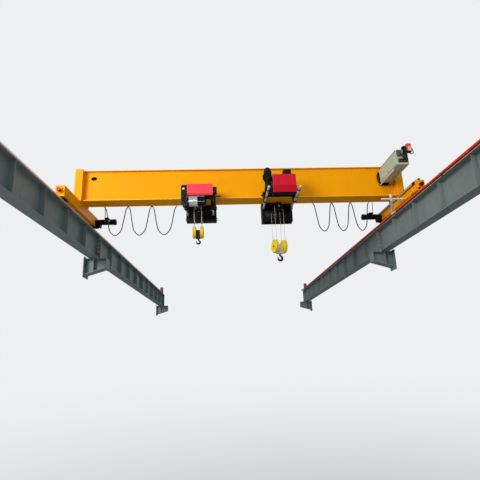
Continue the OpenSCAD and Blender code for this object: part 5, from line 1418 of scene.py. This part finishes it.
def make_right_hoist():
    place = at(RIGHT, 0, UNDER)
    twist = math.radians(16)
    turn = Matrix.Rotation(twist, 4, "Z")
    sheave_x, sheave_y, sheave_z, fall, reach = -0.04, 0.1, -0.15, 0.115, 0.11
    low_z, head = -1.178, -0.19

    def turned(x, y):
        return (x * math.cos(twist) - y * math.sin(twist) + sheave_x,
                x * math.sin(twist) + y * math.cos(twist) + sheave_y)

    plates, steel, dark, nuts, rope, wheel = shapes(6, place)
    bars, bar_z = (-0.37, 0.345), -0.108
    side_plates(plates, nuts, (-0.43, 0.435), bars, bar_z)
    tie_bars(steel, dark, bars, bar_z, -1.0, BAR_OUT)
    wheels(wheel)
    for y in (-0.82, -0.47):
        for x in bars:
            dark.lathe("y", (x, bar_z), [
                (0.024, y - 0.012), (0.036, y - 0.012), (0.038, y - 0.01), (0.038, y + 0.01),
                (0.036, y + 0.012), (0.024, y + 0.012)], 36)
            nuts.bolt((x, y, bar_z - 0.037), DOWN, 0.01, 0.4, False)
    for x0, x1 in ((-0.43, -0.462), (0.435, 0.465)):
        way = 1 if x1 > x0 else -1
        dark.lathe("x", (-0.213, 0.045), [
            (0, x0 - way * 0.001), (0.017, x0 - way * 0.001), (0.017, x1 - way * 0.004), (0.013, x1),
            (0, x1)], 28)
    socket_x = turned(fall, reach)[0]
    dark.prism("y", 0.182, 0.208, [
        (socket_x - 0.015, -0.16), (socket_x - 0.01, -0.22), (socket_x + 0.01, -0.22),
        (socket_x + 0.015, -0.16), (socket_x + 0.015, -0.005), (socket_x - 0.015, -0.005)])
    dark.block((socket_x - 0.015, 0.1975, -0.06), (socket_x + 0.015, 0.2165, 0.006))
    nuts.bolt((socket_x, 0.182, -0.15), FRONT, 0.014)
    for y in (-0.68, -0.5):
        for y0, y1 in ((y, y + 0.006), (y + 0.034, y + 0.04)):
            dark.block((bars[0], y0, -0.1), (bars[1], y1, -0.063))
        dark.block((bars[0], y, -0.069), (bars[1], y + 0.04, -0.063))
    case = [(-0.6945, -0.095), (-0.7545, 0.0435), (-0.7395, 0.333), (-0.7328, 0.3397), (-0.43, 0.3397),
            (-0.43, -0.095)]
    plates.prism("x", -0.232, 0.315, shrunk(case, 0.004))
    plates.prism("x", -0.2325, -0.222, case)
    side = [(-0.735, -0.06), (-0.735, 0.035), (-0.56, 0.43), (-0.45, 0.43), (-0.43, 0.41), (-0.43, -0.095),
            (-0.7, -0.095)]
    plates.prism("x", 0.314, 0.327, side)
    for u, v in along(shrunk(side, 0.022), 0.11):
        nuts.screw((0.327, u, v), (1, 0, 0), 0.012)
    for u, v in ((-0.5, 0.28), (-0.5, 0.05)):
        plates.lathe("x", (u, v), [(0, 0.34), (0.016, 0.34), (0.02, 0.336), (0.02, 0.326), (0, 0.326)], 24)
    plates.prism("z", 0.42, 0.506, moved(rounded(0.197, 0.12, 0.012), 0.1365, -0.58))
    plates.prism("z", 0.505, 0.515, moved(rounded(0.19, 0.114, 0.012), 0.1365, -0.58))
    for x in (0.038, 0.211):
        plates.prism("x", x, x + 0.024, [
            (-0.639, 0.339), (-0.521, 0.339), (-0.521, 0.343), (-0.58, 0.343), (-0.58, 0.421),
            (-0.639, 0.421)])
        nuts.bolt((x + 0.012, -0.545, 0.343), UP, 0.009)
    for u in (-0.06, 0, 0.06):
        gland(plates, (0.1375 + u, -0.52, 0.46), (0, 1, 0), 0.02)
    put(place @ at(sheave_x, sheave_y, sheave_z) @ turn @ at(0, -reach), steel, dark, nuts, rope)
    equalizer(dark, dark, nuts, fall, -0.371, 0.371, 0.042)
    wire(rope, arc(fall, 180, 0, 50))
    put(place, steel, dark, nuts, rope)
    trolley_done("right", plates, steel, dark, wheel)

    gear, = shapes(1, place)
    x, y = -0.331, -0.61
    gear.prism("z", -0.0627, 0.062, moved(rounded(0.168, 0.19, 0.016), x, y))
    gear.prism("z", -0.0627, -0.048, moved(rounded(0.1678, 0.1898, 0.004), x, y))
    gear.prism("z", 0.06, 0.08, moved(rounded(0.168, 0.19, 0.03), x, y))
    for k in range(4):
        gear.block((x - 0.084, y - 0.07 + k * 0.044, -0.05), (x - 0.078, y - 0.062 + k * 0.044, 0.062))
    gear.rod("y", y - 0.0955, y - 0.085, (x, 0.006), 0.09, 36, 0.003)
    for u, v in ring_of(5, 0.036):
        nuts.screw((x + u, y - 0.0955, 0.006 + v), FRONT, 0.009)
    for u, v in corners(0.068, 0.078):
        nuts.bolt((x + u, y + v, 0.08), UP, 0.012, 0.4)
    gear.lathe("z", (x, y), [(0, 0.079), (0.082, 0.079), (0.082, 0.092), (0.075, 0.096), (0.07, 0.104),
                             (0, 0.104)], 44)
    gear.block((-0.4, -0.6395, -0.0827), (-0.34, -0.588, -0.062))
    motor(gear, 0.1, 0.24, 0.15, (x, y), 26, "z")
    motor(gear, 0.235, 0.45, 0.192, (x, y), 34, "z")
    r = 0.096
    gear.lathe("z", (x, y), [(0, 0.446), (r, 0.446), (r, 0.466), (0.088, 0.485), (0.07, 0.53), (0.056, 0.55),
                             (0.05, 0.556), (0.035, 0.556), (0.035, 0.55), (0, 0.55)], 44)
    for k in range(16):
        t = 2 * math.pi * k / 16
        c, s = math.cos(t), math.sin(t)
        gear.add([(x + (q + out) * c - w * s, y + (q + out) * s + w * c, z) for out in (0, 0.003) for q,
                  z in ((0.0865, 0.49), (0.0705, 0.532)) for w in (-0.003, 0.003)],
                 [(0, 1, 3, 2), (4, 6, 7, 5), (0, 4, 5, 1), (2, 3, 7, 6), (0, 2, 6, 4), (1, 5, 7, 3)])
    gear.prism("x", x - 0.118, x - 0.09, moved(rounded(0.09, 0.1, 0.012), y, 0.33))
    gland(gear, (x - 0.104, y, 0.28), DOWN, 0.018)
    gear.done("hoist_right_motor", "trolley_right", "cast", "drive_paint", "hoist_right_drive", edge=0.0015)

    # Light red strips along the cover's edges are painted highlights; the screws on them take the same colour.
    trim, = shapes(1, place)
    face = [(-0.7015, -0.1), (-0.7617, 0.043), (-0.7467, 0.3355), (-0.7355, 0.3467), (-0.43, 0.3467)]
    back = [(-0.43, 0.3445), (-0.7345, 0.3445), (-0.7445, 0.335), (-0.7595, 0.043), (-0.6995, -0.1)]
    for a in (-0.232, 0.308):
        trim.prism("x", a, a + 0.006, face + back)
    for a in (-0.21, 0.29):
        for q in (0.25, 0.55, 0.85):
            trim.bolt((a, -0.76 + 0.015 * q, 0.043 + 0.292 * q), (0, -1, 0.05), 0.008, 0.3, False)
    trim.done("hoist_right_cover_edges", "trolley_right", "red_highlight", "cover_paint")

    shell, arm = shapes(2, place)
    low, high, front, rear = -0.455, 0.07, BAR_OUT + 0.0003, 0.52
    cheek = [(front, low + 0.03), (front + 0.03, low), (rear - 0.04, low), (rear, low + 0.04),
             (rear, high - 0.03), (rear - 0.03, high), (front, high)]
    for x0, x1, out in ((-0.41, -0.35, -1), (0.315, 0.375, 1)):
        shell.prism("x", x0 + 0.006, x1 - 0.006, shrunk(cheek, 0.007))
        shell.prism("x", x0 + (0.03 if out > 0 else 0.0), x0 + (0.06 if out > 0 else 0.03), cheek)
        inner = x0 if out > 0 else x1 - 0.008
        shell.prism("x", inner, inner + 0.008, shrunk(cheek, 0.002))
        edge_x = x1 if out > 0 else x0
        for u, v in along(shrunk(cheek, 0.018), 0.09):
            nuts.screw((edge_x, u, v), (out, 0, 0), 0.012)
        shell.lathe("x", (0.36, -0.26), [
            (0, edge_x + out * 0.012), (0.03, edge_x + out * 0.012), (0.036, edge_x + out * 0.008),
            (0.07, edge_x + out * 0.008), (0.075, edge_x + out * 0.004), (0.075, edge_x - out * 0.004),
            (0, edge_x - out * 0.004)], 44)
        for u, v in ring_of(6, 0.06):
            nuts.screw((edge_x + out * 0.008, 0.36 + u, -0.26 + v), (out, 0, 0), 0.011)
    shell.block((-0.351, front, 0.02), (0.316, rear, 0.06))
    shell.block((-0.351, rear - 0.0045, low + 0.04), (0.316, rear, 0.021))
    for y in (0.2698, 0.49):
        shell.rod("x", -0.351, 0.316, (y, low + 0.025), 0.036, 28)
    for k in range(5):
        x0 = -0.28 + k * 0.14
        shell.block((x0 - 0.004, rear - 0.001, low + 0.06), (x0 + 0.004, rear + 0.003, 0.0))
    tow_arm(arm, nuts, 0.375, 1.01, 0.01)
    arm.block((0.315, 0.485, 0.01), (0.376, 0.515, 0.06))
    shell.done("hoist_right_drum_housing", "trolley_right", "black", "trolley_paint", "hoist_right_housing",
               edge=0.002)
    arm.done("hoist_right_tow_arm", "trolley_right", "black", "trolley_paint", edge=0.001)
    nuts.done("hoist_right_fasteners", "trolley_right", "zinc", "galvanised_steel")
    rope.done("trolley_right_rope", "trolley_right", "rope", "rope_steel")

    # The right drum's wound rope is darkened as painted shade.
    drum("hoist_right_drum_grooved", "drum_right", "hoist_right_drum", place @ at(-0.345, 0.36, -0.26),
         0.655, 0.15, 0.3, "wound_painted_shade")
    low = place @ at(sheave_x, sheave_y, low_z) @ turn
    block_of("right", low, fall, 0.07, 0.17, reach, head, True)
    hook_of("right", low, head, 0.058, 0.054)
    falls, = shapes(1, place)
    a, b = turned(-fall, reach), turned(fall, reach)
    wire(falls, [(a[0], a[1], low_z), (a[0], 0.2047, -0.26)])
    wire(falls, [(b[0], b[1], low_z), (b[0], 0.195, -0.2203)])
    for dx in (-fall, fall):
        c = turned(dx, -reach)
        wire(falls, [(c[0], c[1], low_z), (c[0], c[1], sheave_z)])
    falls.done("hoist_right_falls", None, "rope", "rope_steel", "hoist_right_ropes",
               blend=("trolley_right", "block_right", frame_point(RIGHT, 0, UNDER - 0.26),
                      frame_point(RIGHT, 0, UNDER - 1.01)))


make_left_hoist()
make_right_hoist()


# Floor and light

def make_stage():
    """A pale floor that fades into the background, a soft key from the front left, and an even fill."""
    floor_z, r, n = -3.97, 140.0, 64
    pale = (0.86, 0.87, 0.88, 1)
    mesh = bpy.data.meshes.new("floor")
    mesh.from_pydata([(u, v, 0) for u, v in ring_of(n, r)], [], [tuple(range(n))])
    floor = bpy.data.objects.new("floor", mesh)
    floor.location = (SITE.x, -9, floor_z)
    bpy.context.scene.collection.objects.link(floor)
    m = bpy.data.materials.new("floor_pale")
    m.use_nodes = True
    add, join = node_maker(m.node_tree)
    place = add("TexCoord", {}).outputs["Object"]
    speckle = add("TexNoise", {"Vector": place, "Scale": 0.35}).outputs["Fac"]
    tint = add("Mix", {0: speckle, 6: (0.32, 0.32, 0.32, 1), 7: (0.36, 0.36, 0.36, 1)}, data_type="RGBA")
    ground = m.node_tree.nodes["Principled BSDF"]
    join(ground, {"Roughness": 0.8, "Base Color": tint.outputs[2]})
    far = add("VectorMath", {0: place}, operation="LENGTH").outputs["Value"]
    near = add("Math", {0: 1.0, 1: far}, operation="DIVIDE").outputs[0]
    fade = add("MapRange", {"Value": near, "From Min": 0.03, "From Max": 0.3, "To Min": 1.0, "To Max": 0.5},
               interpolation_type="SMOOTHSTEP").outputs["Result"]
    seen = add("LightPath", {}).outputs["Is Camera Ray"]
    share = add("Math", {0: fade, 1: seen}, operation="MULTIPLY").outputs[0]
    glow = add("Emission", {"Color": pale}).outputs["Emission"]
    both = add("MixShader", {"Fac": share, 1: ground.outputs["BSDF"], 2: glow}).outputs["Shader"]
    join(m.node_tree.nodes["Material Output"], {"Surface": both})
    mesh.materials.append(m)

    world = bpy.data.worlds.new("studio")
    bpy.context.scene.world = world
    world.use_nodes = True
    add, join = node_maker(world.node_tree)
    fill = world.node_tree.nodes["Background"]
    join(fill, {"Color": (0.92, 0.96, 1.0, 1), "Strength": 0.45})
    back = add("Background", {"Color": pale}).outputs["Background"]
    seen = add("LightPath", {}).outputs["Is Camera Ray"]
    both = add("MixShader", {"Fac": seen, 1: fill.outputs["Background"], 2: back}).outputs["Shader"]
    join(world.node_tree.nodes["World Output"], {"Surface": both})

    def lamp(name, kind, way, power, colour, place=(0, 0, 0)):
        data = bpy.data.lights.new(name, kind)
        data.energy, data.color = power, colour
        piece = bpy.data.objects.new(name, data)
        piece.rotation_mode = "QUATERNION"
        piece.rotation_quaternion = Vector(way).to_track_quat("-Z", "Y")
        piece.location = place
        bpy.context.scene.collection.objects.link(piece)
        return data

    place = Vector((-6.5, -12, 4))
    lamp("key", "AREA", Vector((3.5, -1, 0.5)) - place, 1700, (1, 0.98, 0.94), place).size = 6
    lamp("front", "SUN", (0.2, 0.9, -0.4), 0.5, (1, 0.98, 0.95)).angle = math.radians(30)
    lamp("rear", "SUN", (-0.3, -0.7, -0.6), 0.7, (0.95, 0.97, 1)).angle = math.radians(40)


make_stage()
bpy.context.scene.view_settings.view_transform = "Standard"
